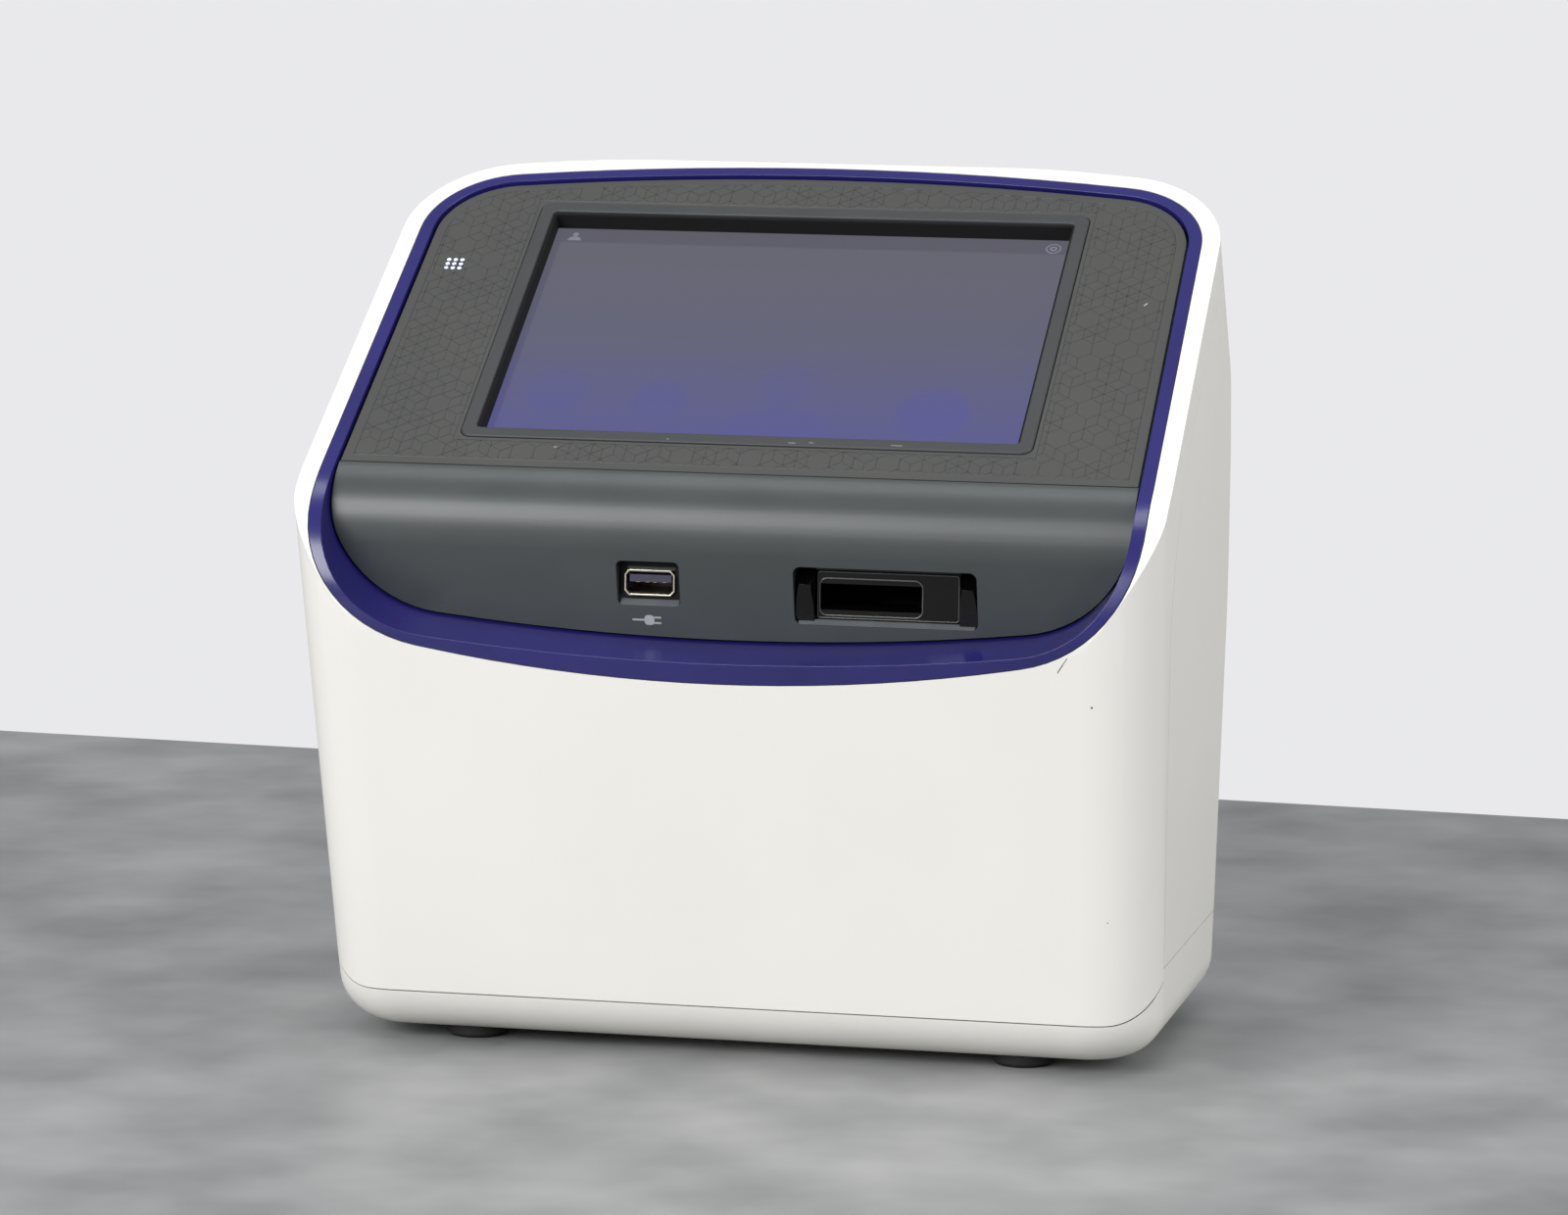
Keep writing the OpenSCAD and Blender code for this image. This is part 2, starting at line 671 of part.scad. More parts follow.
module display_board() color([0.10, 0.30, 0.22]) {
  on_panel() difference() {
    translate([0, window_mid, board_z]) linear_extrude(1.6)
      rect(window_width + 31, window_height + 26, 3);
    mirrored() for (s = [window_start - 8, window_start + window_height + 4])
      post(window_width / 2 + 11.8, s, board_z - 1, display_z + 1, 3.2);
  }
}

module board_spacers() color([0.72, 0.70, 0.62]) {
  on_panel() mirrored() for (s = [window_mid, window_mid + 48])
    post(window_width / 2 - 10, s, main_z, board_z, 5);
}

module main_board() color([0.09, 0.28, 0.20]) {
  on_panel() {
    translate([0, window_mid + 24, main_z - 1.6]) linear_extrude(1.6) rect(window_width, 58, 3);
    translate([-22, window_mid + 24, main_z - 3.4]) linear_extrude(1.9) square([24, 24], center = true);
    translate([22, window_mid + 24, main_z - 2.8]) linear_extrude(1.3) square([14, 12], center = true);
    translate([48, window_mid + 34, main_z - 4.6]) linear_extrude(3.1) square([16, 9], center = true);
  }
}

module status_lights() color([0.90, 0.93, 1.00]) {
  on_panel() {
    translate([-dots_side, dots_up, -bezel_thickness - 3]) linear_extrude(3) square([8, 8], center = true);
    for (i = [-1:1], j = [-1:1])
      post(-dots_side + i * dot_pitch, dots_up + j * dot_pitch, -bezel_thickness - 1, 0, dot_diameter);
  }
}

module light_board() color([0.09, 0.28, 0.20]) {
  on_panel() translate([-dots_side, dots_up, -bezel_thickness - 4.6]) linear_extrude(1.6)
    square([11, 12], center = true);
}

module usb_shell() color([0.74, 0.72, 0.68]) {
  w = usb_shell_width;
  h = usb_shell_height;
  difference() {
    union() {
      along_y(socket_y, socket_y + usb_shell_depth) translate([usb_x, usb_height]) square([w, h], center = true);
      along_y(socket_y, socket_y + 0.4) translate([usb_x, usb_height]) rect(w + 1.6, h + 1.6, 0.8);
    }
    along_y(socket_y - 2, socket_y - 0.4 + usb_shell_depth) translate([usb_x, usb_height])
      square([w - 0.8, h - 0.8], center = true);
  }
}

module usb_tongue() color([0.42, 0.40, 0.55]) {
  y = socket_y - 0.4 + usb_shell_depth;
  along_y(socket_y + 1, y) translate([usb_x, usb_height + 1.05]) square([11.1, 1.9], center = true);
  slab(usb_x - usb_shell_width / 2 + 0.45, usb_x + usb_shell_width / 2 - 0.45, y - 3, y,
    usb_height - usb_shell_height / 2 + 0.45, usb_height + usb_shell_height / 2 - 0.45);
}

module usb_contacts() color([0.85, 0.68, 0.30]) {
  for (x = [-3.5, -1, 1, 3.5])
    slab(usb_x + x - 0.5, usb_x + x + 0.5, socket_y + 1.8, socket_y + 10, usb_height - 0.1, usb_height + 0.1);
}

module usb_board() color([0.09, 0.28, 0.20]) {
  z = usb_height - usb_shell_height / 2;
  slab(usb_x - 10, usb_x + 10, socket_y + 3.6, socket_y + 27, z - 1.6, z);
}

// black frame around the slide carriage, with an upright rib at each side
module port_frame() color([0.07, 0.07, 0.07]) {
  w = port_width - 0.4;
  h = port_rise - 0.4;
  side = (port_width - face_width) / 2 - 0.5;
  difference() {
    union() {
      along_y(face_y - 0.6, face_y + 8) translate([port_x, port_height]) rect(w, h, 1.8);
      along_y(face_y + 8, frame_back) translate([port_x, port_height]) rect(w + 6, h + 5, 3);
      for (m = [0, 1]) translate([port_x, 0, 0]) mirror([m, 0, 0]) intersection() {
        along_y(face_y - 8, face_y + 1) rect_at(w, h);
        translate([w / 2 - side / 2 - 0.05, face_y - 2.2, port_height - h]) {
          cylinder(d = side - 0.1, h = 2 * h);
          translate([-(side - 0.1) / 2, 0, 0]) cube([side - 0.1, 3, 2 * h]);
        }
      }
    }
    along_y(face_y - 12, frame_back + 4) translate([port_x, port_height])
      square([face_width + 0.6, face_height + 0.6], center = true);
  }
}
module rect_at(w, h) translate([0, port_height]) rect(w, h, 1.8);

// carriage that takes the sample slide: its face fills the port, and its tray runs in the stage
module slide_carriage() color([0.06, 0.06, 0.06]) {
  neck = slot_width / 2 + 0.85;
  c = channel_height / 2;
  difference() {
    union() {
      along_y(face_y, plate_back) translate([port_x, port_height]) rect(face_width, face_height, 0.8);
      slab(slot_x - neck, slot_x + neck, face_y + 1, tray_front + 1, tray_low, tray_high);
      slab(slot_x - tray_half, slot_x + tray_half, tray_front, tray_back, tray_low, tray_high);
    }
    slab(slot_x - slot_width / 2, slot_x + slot_width / 2, face_y - 1, slide_stop, slide_z - c, slide_z + c);
    translate([slot_x, 0, 0]) along_x(slot_width) polygon([
      [face_y - 1, slide_z - slot_height / 2 - 0.8], [face_y + 1.8, slide_z - c], [face_y + 1.8, slide_z + c],
      [face_y - 1, slide_z + slot_height / 2 + 0.8]]);
    translate([slot_x, axis_y - carriage_travel / 2, tray_low - 1])
      linear_extrude(tray_high - tray_low + 2) rect(16, 16 + carriage_travel, 7.5);
  }
}

// stage: a plate over the optics with the guide that carries the slide carriage
module stage_guide() color([0.66, 0.67, 0.69]) {
  difference() {
    union() {
      slab(slot_x - 33, slot_x + 41, -34, 48, stage_z, stage_z + stage_t);
      for (m = [0, 1]) translate([slot_x, 0, 0]) mirror([m, 0, 0]) {
        slab(tray_half + carriage_play, guide_half, tray_front - 1, 32, stage_z + stage_t - 1, guide_top);
        slab(tray_half - 2.5, guide_half - 1, tray_front - 1, 32, stage_z + stage_t - 1, tray_low - 0.1);
        slab(tray_half - 2.5, guide_half - 1, tray_front - 1, 32, tray_high + 0.1, guide_top);
      }
    }
    post(slot_x, axis_y, stage_z - 1, stage_z + stage_t + 1, objective_diameter + 4);
    post(slot_x, rod_y, stage_z - 1, stage_z + 2, screw_diameter + 2 * running_play);
  }
}

module bench_posts() color([0.70, 0.71, 0.72]) {
  for (x = [slot_x - 27, slot_x + 35], y = [-28, 42]) post(x, y, deck_z, stage_z, 8);
}

module chassis_plate() color([0.72, 0.73, 0.74]) {
  difference() {
    union() {
      translate([0, 12, plate_z]) linear_extrude(plate_t) rect(2 * boss_x + 12, 92, 4);
      for (x = [driver_x - 26, driver_x + 26], y = [-26, -4]) post(x, y, plate_z + 1, deck_z + 4, 6);
    }
    mirrored() for (y = [boss_front, boss_rear]) post(boss_x, y, plate_z - 1, deck_z + 1, 3.3);
  }
}

module lamp_house() color([0.16, 0.16, 0.17]) {
  z = guide_top;
  difference() {
    union() {
      slab(slot_x - guide_half, slot_x + guide_half, axis_y - 18, axis_y + 20, z, z + 6);
      post(slot_x, axis_y, z + 5, z + 18, 26);
      for (i = [0:3]) post(slot_x, axis_y, z + 7.5 + i * 3, z + 9 + i * 3, 32);
    }
    post(slot_x, axis_y, z - 1, z + 12, 14);
    post(slot_x, axis_y, z - 1, z + 3.5, 18.2);
  }
}

module condenser_lens() color([0.80, 0.88, 0.92]) {
  translate([slot_x, axis_y, guide_top + 0.4]) rotate_extrude() polygon(concat([[0, 0], [9, 0], [9, 1.4]],
    [for (i = [0:8]) [8.4 * cos(i * 11.25), 1.4 + 1.7 * sin(i * 11.25)]]));
}

module objective() color([0.20, 0.20, 0.22]) {
  r = objective_diameter / 2;
  z = focus_z + 10;
  h = objective_length;
  difference() {
    translate([slot_x, axis_y, z]) rotate_extrude() difference() {
      polygon([[0, 0], [r, 0], [r, 3], [r - 0.6, 3.6], [r - 0.6, 5], [r, 5.6], [r, h - 10], [r - 3.5, h - 6],
        [r - 3.5, h - 3], [r - 5.5, h], [0, h]]);
      for (i = [0:4]) translate([r, 7 + i * 1.2]) circle(d = 0.5, $fn = 4);
    }
    post(slot_x, axis_y, z - 1, z + h + 1, 7);
  }
}

module focus_carriage() color([0.60, 0.62, 0.65]) {
  difference() {
    union() {
      slab(slot_x - rod_x - 6, slot_x + rod_x + 6, rod_y - 7, rod_y + 7, focus_z, focus_z + 12);
      slab(slot_x - 11, slot_x + 11, axis_y, rod_y - 6, focus_z + 4, focus_z + 10);
      post(slot_x, axis_y, focus_z + 4, focus_z + 10, 26);
    }
    for (m = [-1, 1]) post(slot_x + m * rod_x, rod_y, focus_z - 1, focus_z + 13, rod_diameter + 2 * running_play);
    post(slot_x, rod_y, focus_z - 1, focus_z + 13, screw_diameter + 2 * running_play);
    post(slot_x, axis_y, focus_z + 3, focus_z + 11, 14);
  }
}

module guide_rods() color([0.80, 0.81, 0.83]) {
  for (m = [-1, 1]) {
    post(slot_x + m * rod_x, rod_y, deck_z, stage_z, rod_diameter);
    // stop collars at both ends of the focus travel
    for (z = [focus_z - focus_travel - 3.2, focus_z + 12.2 + focus_travel])
      post(slot_x + m * rod_x, rod_y, z, z + 3, rod_diameter + 4);
  }
}

module focus_motor() color([0.24, 0.24, 0.26]) {
  difference() {
    union() {
      translate([slot_x, rod_y, deck_z]) linear_extrude(6) rect(28, 28, 2.4);
      translate([slot_x, rod_y, deck_z + 5.9]) linear_extrude(18.2) rect(27, 27, 4);
      translate([slot_x, rod_y, deck_z + 24]) linear_extrude(5) rect(28, 28, 2.4);
    }
    post(slot_x, rod_y, deck_z + 24, deck_z + 30, screw_diameter + 2 * running_play);
  }
}

module focus_screw() color([0.77, 0.76, 0.72]) {
  post(slot_x, rod_y, deck_z + 24.4, stage_z + 1.6, screw_diameter);
}

module cube_rails() color([0.80, 0.81, 0.83]) {
  for (y = [axis_y - rail_y, axis_y + rail_y]) translate([rail_low, y, rail_z]) rotate([0, 90, 0])
    cylinder(d = rail_d, h = rail_high - rail_low);
}

module rail_blocks() color([0.66, 0.67, 0.69]) {
  difference() {
    for (x = [rail_low, rail_high - 6])
      slab(x, x + 6, axis_y - rail_y - 5, axis_y + rail_y + 5, deck_z, rail_z + 5.5);
    for (y = [axis_y - rail_y, axis_y + rail_y]) translate([rail_low - 1, y, rail_z]) rotate([0, 90, 0])
      cylinder(d = rail_d + 0.04, h = rail_high - rail_low + 2);
  }
}

module cube_shuttle() color([0.30, 0.31, 0.33]) {
  difference() {
    union() {
      slab(shuttle_low, shuttle_high, axis_y - rail_y, axis_y + rail_y, rail_z - 3, rail_z + 3);
      for (y = [axis_y - rail_y, axis_y + rail_y])
        slab(shuttle_low, shuttle_high, y - 4.4, y + 4.4, rail_z - 4.4, rail_z + 4.4);
      slab(shuttle_low, shuttle_high, axis_y + cube_size / 2 + 0.2, axis_y + cube_size / 2 + 2.4, rail_z, cube_z + 9);
    }
    for (y = [axis_y - rail_y, axis_y + rail_y]) translate([shuttle_low - 1, y, rail_z]) rotate([0, 90, 0])
      cylinder(d = rail_d + 2 * running_play, h = shuttle_high - shuttle_low + 2);
    for (x = [slot_x, slot_x - cube_pitch]) post(x, axis_y, rail_z - 4, rail_z + 4, 15);
  }
}

module light_cubes() color([0.12, 0.12, 0.13]) {
  e = cube_size / 2;
  for (x = [slot_x, slot_x - cube_pitch]) translate([x, axis_y, cube_z + e]) difference() {
    cube(cube_size, center = true);
    cylinder(d = 15, h = cube_size + 2, center = true);
    translate([0, -e, 0]) rotate([90, 0, 0]) cylinder(d = 14, h = cube_size, center = true);
  }
}

module camera_module() color([0.16, 0.17, 0.18]) {
  difference() {
    union() {
      translate([slot_x, axis_y, deck_z]) linear_extrude(14) rect(25, 25, 2);
      post(slot_x, axis_y, deck_z + 13, deck_z + 29, 20);
    }
    post(slot_x, axis_y, deck_z + 15, deck_z + 30, 15);
  }
}

module driver_board() color([0.09, 0.28, 0.20]) {
  translate([driver_x, -15, deck_z + 4]) {
    linear_extrude(1.6) rect(60, 32, 2);
    slab(-20, -4, -7, 5, 1.5, 4);
    slab(4, 18, -9, 1, 1.5, 8);
  }
}

module power_supply() color([0.73, 0.74, 0.75]) {
  difference() {
    slab(supply_x, supply_x + 66, 6, 56, deck_z, deck_z + 24);
    for (i = [1:7]) slab(supply_x + i * 8, supply_x + i * 8 + 3, 14, 48, deck_z + 22.5, deck_z + 30);
  }
}

module power_inlet() color([0.06, 0.06, 0.06]) {
  x = inlet_x;
  z = fittings_height;
  difference() {
    union() {
      along_y(rear_y - 20, rear_y + 0.1) translate([x, z]) rect(27, 19.5, 1.3);
      along_y(rear_y, rear_y + 1.6) translate([x, z]) rect(31, 24, 2.5);
    }
    along_y(rear_y - 15, rear_y + 3) translate([x, z]) polygon([
      [-12, -8], [12, -8], [12, 4.5], [8.5, 8], [-8.5, 8], [-12, 4.5]]);
  }
}

module inlet_pins() color([0.80, 0.79, 0.76]) {
  for (p = [[-7, -2], [0, 2], [7, -2]])
    slab(inlet_x + p[0] - 1, inlet_x + p[0] + 1, rear_y - 15, rear_y - 4,
      fittings_height + p[1] - 2, fittings_height + p[1] + 2);
}

module switch_body() color([0.06, 0.06, 0.06]) {
  z = fittings_height;
  w = rocker_width;
  h = rocker_height;
  difference() {
    union() {
      along_y(rear_y - 16, rear_y + 0.1) translate([switch_x, z]) square([12, h + 2.4], center = true);
      along_y(rear_y, rear_y + 1.5) translate([switch_x, z]) rect(w + 5.2, h + 5, 1);
    }
    along_y(rear_y - 9, rear_y + 3) translate([switch_x, z]) square([w, h], center = true);
    translate([switch_x, rear_y - 1, z]) along_x(w + 1.4) circle(0.9 + running_play);
  }
}

module power_rocker() color([0.09, 0.09, 0.09]) {
  h = rocker_height / 2;
  translate([switch_x, rear_y - 1, fittings_height]) rotate([-rocker_swing, 0, 0]) {
    along_x(rocker_width - 0.5)
      polygon([[-5.5, -4], [-1.5, 1 - h], [2.6, 0.75 - h], [1, 0], [2.6, h - 0.75], [-1.5, h - 1], [-5.5, 4]]);
    along_x(rocker_width + 1.2) circle(0.9);
  }
}

front_shell();
rear_shell();
base_tray();
feet();
housing_screws();
trim_ring();
fascia_bezel();
overlay_panel();
screen_lip();
touch_glass();
display_module();
display_board();
board_spacers();
main_board();
status_lights();
light_board();
usb_shell();
usb_tongue();
usb_contacts();
usb_board();
port_frame();
slide_carriage();
stage_guide();
bench_posts();
chassis_plate();
lamp_house();
condenser_lens();
objective();
focus_carriage();
guide_rods();
focus_motor();
focus_screw();
cube_rails();
rail_blocks();
cube_shuttle();
light_cubes();
camera_module();
driver_board();
power_supply();
power_inlet();
inlet_pins();
switch_body();
power_rocker();
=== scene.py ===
# %% [markdown]
# # Automated cell counter: the looks
# A bench instrument that counts cells on a slide: a white housing with a sloping touch screen,
# an indigo trim ring, and a dark fascia with a USB socket and a slide port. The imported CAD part
# is the frame. Its solids keep their place, and this script gives them their finishes and adds
# the fine pieces that are too thin or too soft-edged for the solids. The pieces are measured in
# millimetres, which MM turns into metres. The room round them is measured in metres.

# %% Load the frame
import bpy, math, random
from mathutils import Matrix, Vector
from mathutils.geometry import convex_hull_2d


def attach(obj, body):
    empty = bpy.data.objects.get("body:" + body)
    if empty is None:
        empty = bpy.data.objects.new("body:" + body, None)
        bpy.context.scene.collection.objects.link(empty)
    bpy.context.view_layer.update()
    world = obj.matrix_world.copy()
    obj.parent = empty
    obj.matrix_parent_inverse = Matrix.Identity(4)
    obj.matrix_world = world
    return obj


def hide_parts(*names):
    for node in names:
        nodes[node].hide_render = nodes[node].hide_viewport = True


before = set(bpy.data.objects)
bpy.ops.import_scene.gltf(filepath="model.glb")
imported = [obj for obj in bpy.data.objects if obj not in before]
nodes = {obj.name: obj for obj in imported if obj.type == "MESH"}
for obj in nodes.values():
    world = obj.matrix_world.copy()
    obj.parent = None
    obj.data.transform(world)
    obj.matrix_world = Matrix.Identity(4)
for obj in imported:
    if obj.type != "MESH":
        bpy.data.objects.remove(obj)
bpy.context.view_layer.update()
MM = 0.001

# %% [markdown]
# ## Helpers for finishes
# A colour on a screen is written in sRGB, but a shader works in linear light, so every hex value
# goes through one function. A second function adds a node, sets its values and makes its links,
# which keeps each material short enough to read as a recipe. Most surfaces are then a Principled
# shader with fine bumps, and the larger ones also change slowly between two near tones.

# %% Colour and node helpers
def linear(hex_colour):
    parts = [int(hex_colour[i:i + 2], 16) / 255 for i in (1, 3, 5)]
    return [c / 12.92 if c <= 0.04045 else ((c + 0.055) / 1.055) ** 2.4 for c in parts] + [1.0]


def add(tree, kind, values=None, links=None, **settings):
    node = tree.nodes.new(kind)
    for name, value in settings.items():
        setattr(node, name, value)
    for socket, value in (values or {}).items():
        node.inputs[socket].default_value = value
    for socket, source in (links or {}).items():
        tree.links.new(source, node.inputs[socket])
    return node


def finish(name, colour, roughness, ior=1.5, metallic=0.0, **more):
    """A new material with its Principled shader set to plain values."""
    mat = bpy.data.materials.new(name)
    mat.use_nodes = True
    shader = mat.node_tree.nodes["Principled BSDF"]
    shader.inputs["Base Color"].default_value = linear(colour)
    shader.inputs["Roughness"].default_value = roughness
    shader.inputs["Metallic"].default_value = metallic
    shader.inputs["IOR"].default_value = ior
    for socket, value in more.items():
        shader.inputs[socket.replace("_", " ")].default_value = value
    return mat, mat.node_tree, shader


def grain(tree, shader, size_mm, height_mm):
    """A moulded or ground surface: noise bumps as wide as size_mm and as high as height_mm."""
    where = add(tree, "ShaderNodeTexCoord").outputs["Object"]
    noise = add(tree, "ShaderNodeTexNoise", {"Scale": 1 / (size_mm * MM), "Detail": 2.0},
                {"Vector": where})
    bump = add(tree, "ShaderNodeBump", {"Distance": height_mm * MM, "Strength": 1.0},
               {"Height": noise.outputs["Fac"]})
    tree.links.new(bump.outputs["Normal"], shader.inputs["Normal"])
    return where


def mottle(tree, shader, where, light, dark, size_mm, low=0.35, high=0.65):
    """Slow change between two near colours, as dye and light handling leave on plastic."""
    noise = add(tree, "ShaderNodeTexNoise", {"Scale": 1 / (size_mm * MM), "Detail": 3.0},
                {"Vector": where})
    ramp = add(tree, "ShaderNodeValToRGB", links={"Fac": noise.outputs["Fac"]})
    ramp.color_ramp.elements[0].position = low
    ramp.color_ramp.elements[0].color = linear(dark)
    ramp.color_ramp.elements[1].position = high
    ramp.color_ramp.elements[1].color = linear(light)
    tree.links.new(ramp.outputs["Color"], shader.inputs["Base Color"])


def moulded(name, colour, roughness, ior, bumps_mm, tones, patch_mm, **more):
    """A plastic, foam or ink with bumps (wide, high) and patches of a lighter and a darker tone."""
    mat, tree, shader = finish(name, colour, roughness, ior, **more)
    where = grain(tree, shader, *bumps_mm)
    mottle(tree, shader, where, *tones, patch_mm)
    return mat


def dress(mat, *names):
    """Show CAD nodes as they are, with this material."""
    for name in names:
        nodes[name].data.materials.clear()
        nodes[name].data.materials.append(mat)
    print(mat.name, "->", ", ".join(names))

# %% [markdown]
# ## Camera
# The camera stands in front, a little to the right and slightly above, with a long lens, so the
# upright edges stay nearly parallel. Its axes are worked out from the yaw, the pitch and the roll.

# %% Camera
def place_camera(eye_mm, yaw, pitch, roll, lens):
    y, p, r = map(math.radians, (yaw, pitch, roll))
    ahead = Vector((-math.sin(y) * math.cos(p), math.cos(y) * math.cos(p), -math.sin(p)))
    right = Vector((math.cos(y), math.sin(y), 0))
    down = ahead.cross(right)
    across = right * math.cos(r) + down * math.sin(r)
    upward = right * math.sin(r) - down * math.cos(r)
    turn = Matrix((across, upward, -ahead)).transposed().to_4x4()
    camera = bpy.data.objects.new("camera", bpy.data.cameras.new("camera"))
    bpy.context.collection.objects.link(camera)
    camera.matrix_world = Matrix.Translation(Vector(eye_mm) * MM) @ turn
    camera.data.lens = lens
    camera.data.sensor_width = 36.0
    camera.data.sensor_fit = "HORIZONTAL"
    bpy.context.scene.camera = camera
    return camera


camera = place_camera(eye_mm=(342.0, -1538.5, 318.3), yaw=12.43, pitch=7.38, roll=-0.60,
                      lens=137.07)
print("camera at", [round(v, 3) for v in camera.location])

# %% [markdown]
# ## Table, backdrop and light
# A mottled grey table that carries the shadow, a pale world behind it, and three large soft lamps,
# as in a product studio. The lamp overhead stands in front of the screen's mirror direction, so
# the fold of the fascia shines and the screen panel stays dark.

# %% Table
TABLE_WIDTH, TABLE_DEPTH = 6.0, 3.4
TABLE_FORWARD = 1.28
TABLE_TURN = math.radians(-4.0)
bpy.ops.object.select_all(action="DESELECT")
bpy.ops.mesh.primitive_plane_add(size=1.0, location=(0, 0, 0))
floor = bpy.context.object
floor.name = "table_top"
floor.data.transform(Matrix.Diagonal((TABLE_WIDTH, TABLE_DEPTH, 1, 1)))
floor.data.transform(Matrix.Translation((0, -TABLE_FORWARD, 0)))
floor.data.transform(Matrix.Rotation(TABLE_TURN, 4, "Z"))
laminate, tree, shader = finish("brushed_grey_laminate", "#929394", 0.45)
where = add(tree, "ShaderNodeTexCoord").outputs["Object"]
stretch = add(tree, "ShaderNodeMapping", {"Scale": (1.0, 0.9, 1.0)}, {"Vector": where})
mottle(tree, shader, stretch.outputs["Vector"], "#A4A5A5", "#7E8081", 55, low=0.3, high=0.7)
floor.data.materials.append(laminate)
print("table top laid at z = 0")

# %% World
world = bpy.data.worlds.new("studio")
bpy.context.scene.world = world
world.use_nodes = True
tree = world.node_tree
tree.nodes.clear()
rays = add(tree, "ShaderNodeLightPath")
seen = add(tree, "ShaderNodeMath", operation="MAXIMUM",
           links={0: rays.outputs["Is Camera Ray"], 1: rays.outputs["Is Transmission Ray"]})
backdrop = add(tree, "ShaderNodeBackground", {"Color": linear("#E9E9EB"), "Strength": 1.0})
fill = add(tree, "ShaderNodeBackground", {"Color": linear("#F2F3F6"), "Strength": 0.42})
both = add(tree, "ShaderNodeMixShader",
           links={0: seen.outputs[0], 1: fill.outputs[0], 2: backdrop.outputs[0]})
add(tree, "ShaderNodeOutputWorld", links={"Surface": both.outputs[0]})
print("world: pale backdrop, soft fill")

# %% Lamps
def softbox(name, at, toward, width, height, watts):
    """A rectangular area lamp at one place, in metres, turned toward another."""
    lamp = bpy.data.lights.new(name, "AREA")
    lamp.shape = "RECTANGLE"
    lamp.size, lamp.size_y, lamp.energy = width, height, watts
    obj = bpy.data.objects.new(name, lamp)
    bpy.context.collection.objects.link(obj)
    obj.location = at
    aim = Vector(toward) - Vector(at)
    obj.rotation_euler = aim.to_track_quat("-Z", "Y").to_euler()


softbox("key", (-1.0, -1.9, 1.0), (0, 0, 0.12), 1.3, 1.1, 43)
softbox("top", (0.0, -0.16, 1.9), (0, -0.06, 0.15), 1.8, 0.44, 10)
softbox("side", (1.7, -0.5, 0.9), (0, 0, 0.1), 0.9, 1.2, 15)
bpy.context.scene.view_settings.view_transform = "Standard"
print("three lamps")

# %% [markdown]
# ## Tools for the pieces
# Moulded plastic never has knife edges. Where a CAD solid has the right shape but sharp edges,
# a copy of its mesh is merged, its flat faces are joined, and a small bevel rounds each edge, so
# the light draws a thin line along it as it does on the real part. The copy stands for the solid.

# %% Piece helpers
def only(obj):
    """Make this the one selected and active object, in object mode."""
    if bpy.context.mode != "OBJECT":
        bpy.ops.object.mode_set(mode="OBJECT")
    bpy.ops.object.select_all(action="DESELECT")
    obj.select_set(True)
    bpy.context.view_layer.objects.active = obj
    return obj


def settle(obj, place=None):
    """Put the object's place into its mesh, so that the object itself sits at the origin."""
    if place is not None:
        obj.matrix_world = place @ obj.matrix_world
    only(obj)
    bpy.ops.object.transform_apply(location=True, rotation=True, scale=True)
    return obj


def press(obj, kind, **settings):
    """Add one modifier, set it and apply it at once."""
    only(obj)
    mod = obj.modifiers.new(kind.lower(), kind)
    for name, value in settings.items():
        setattr(mod, name, value)
    bpy.ops.object.modifier_apply(modifier=mod.name)
    return obj


def merged_copy(node, name):
    """A copy of a CAD node with its seams merged and its flat faces joined."""
    obj = bpy.data.objects.new(name, nodes[node].data.copy())
    bpy.context.collection.objects.link(obj)
    only(obj)
    bpy.ops.object.mode_set(mode="EDIT")
    bpy.ops.mesh.select_all(action="SELECT")
    bpy.ops.mesh.remove_doubles(threshold=0.000004)
    bpy.ops.mesh.dissolve_limited(angle_limit=math.radians(0.4))
    bpy.ops.object.mode_set(mode="OBJECT")
    return obj


def soften(obj, width_mm, segments):
    """Round every edge sharper than 32 degrees, and shade the rest smooth."""
    press(obj, "BEVEL", width=width_mm * MM, segments=segments, limit_method="ANGLE",
          angle_limit=math.radians(32), use_clamp_overlap=True, miter_outer="MITER_ARC")
    only(obj)
    bpy.ops.object.shade_smooth_by_angle(angle=math.radians(40))
    press(obj, "WEIGHTED_NORMAL", keep_sharp=True)
    return obj


def seat(obj, mat, slot, body="housing", *replaced):
    """Give a finished piece its material and its body, hide the nodes it stands for, and print its
    slot.
    """
    obj.data.materials.clear()
    obj.data.materials.append(mat)
    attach(obj, body)
    if replaced:
        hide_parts(*replaced)
    print(obj.name, "->", body, slot, len(obj.data.polygons), "faces")
    return obj


def cover(node, name, mat, slot, round_mm, segments, body="housing"):
    """A softened copy of one node that stands for it."""
    return seat(soften(merged_copy(node, name), round_mm, segments), mat, slot, body, node)

# %% [markdown]
# ## Planes of the front
# Two flat faces carry nearly all the small pieces: the panel with the screen, which slopes by
# 33 degrees, and the lower face of the fascia, which leans forward by 13.5 degrees. Each has a
# matrix with x to the right, y up the face and z straight out of it. GLASS is the level of the
# screen behind the panel, and FASCIA_REACH is how far the fascia lies from the frame's origin.

# %% Panel and fascia
def face_matrix(origin, up, out):
    """The matrix of a face, from its origin in metres and its two directions."""
    return Matrix(((1, 0, 0, origin[0]), (0, up.y, out.y, origin[1]),
                   (0, up.z, out.z, origin[2]), (0, 0, 0, 1)))


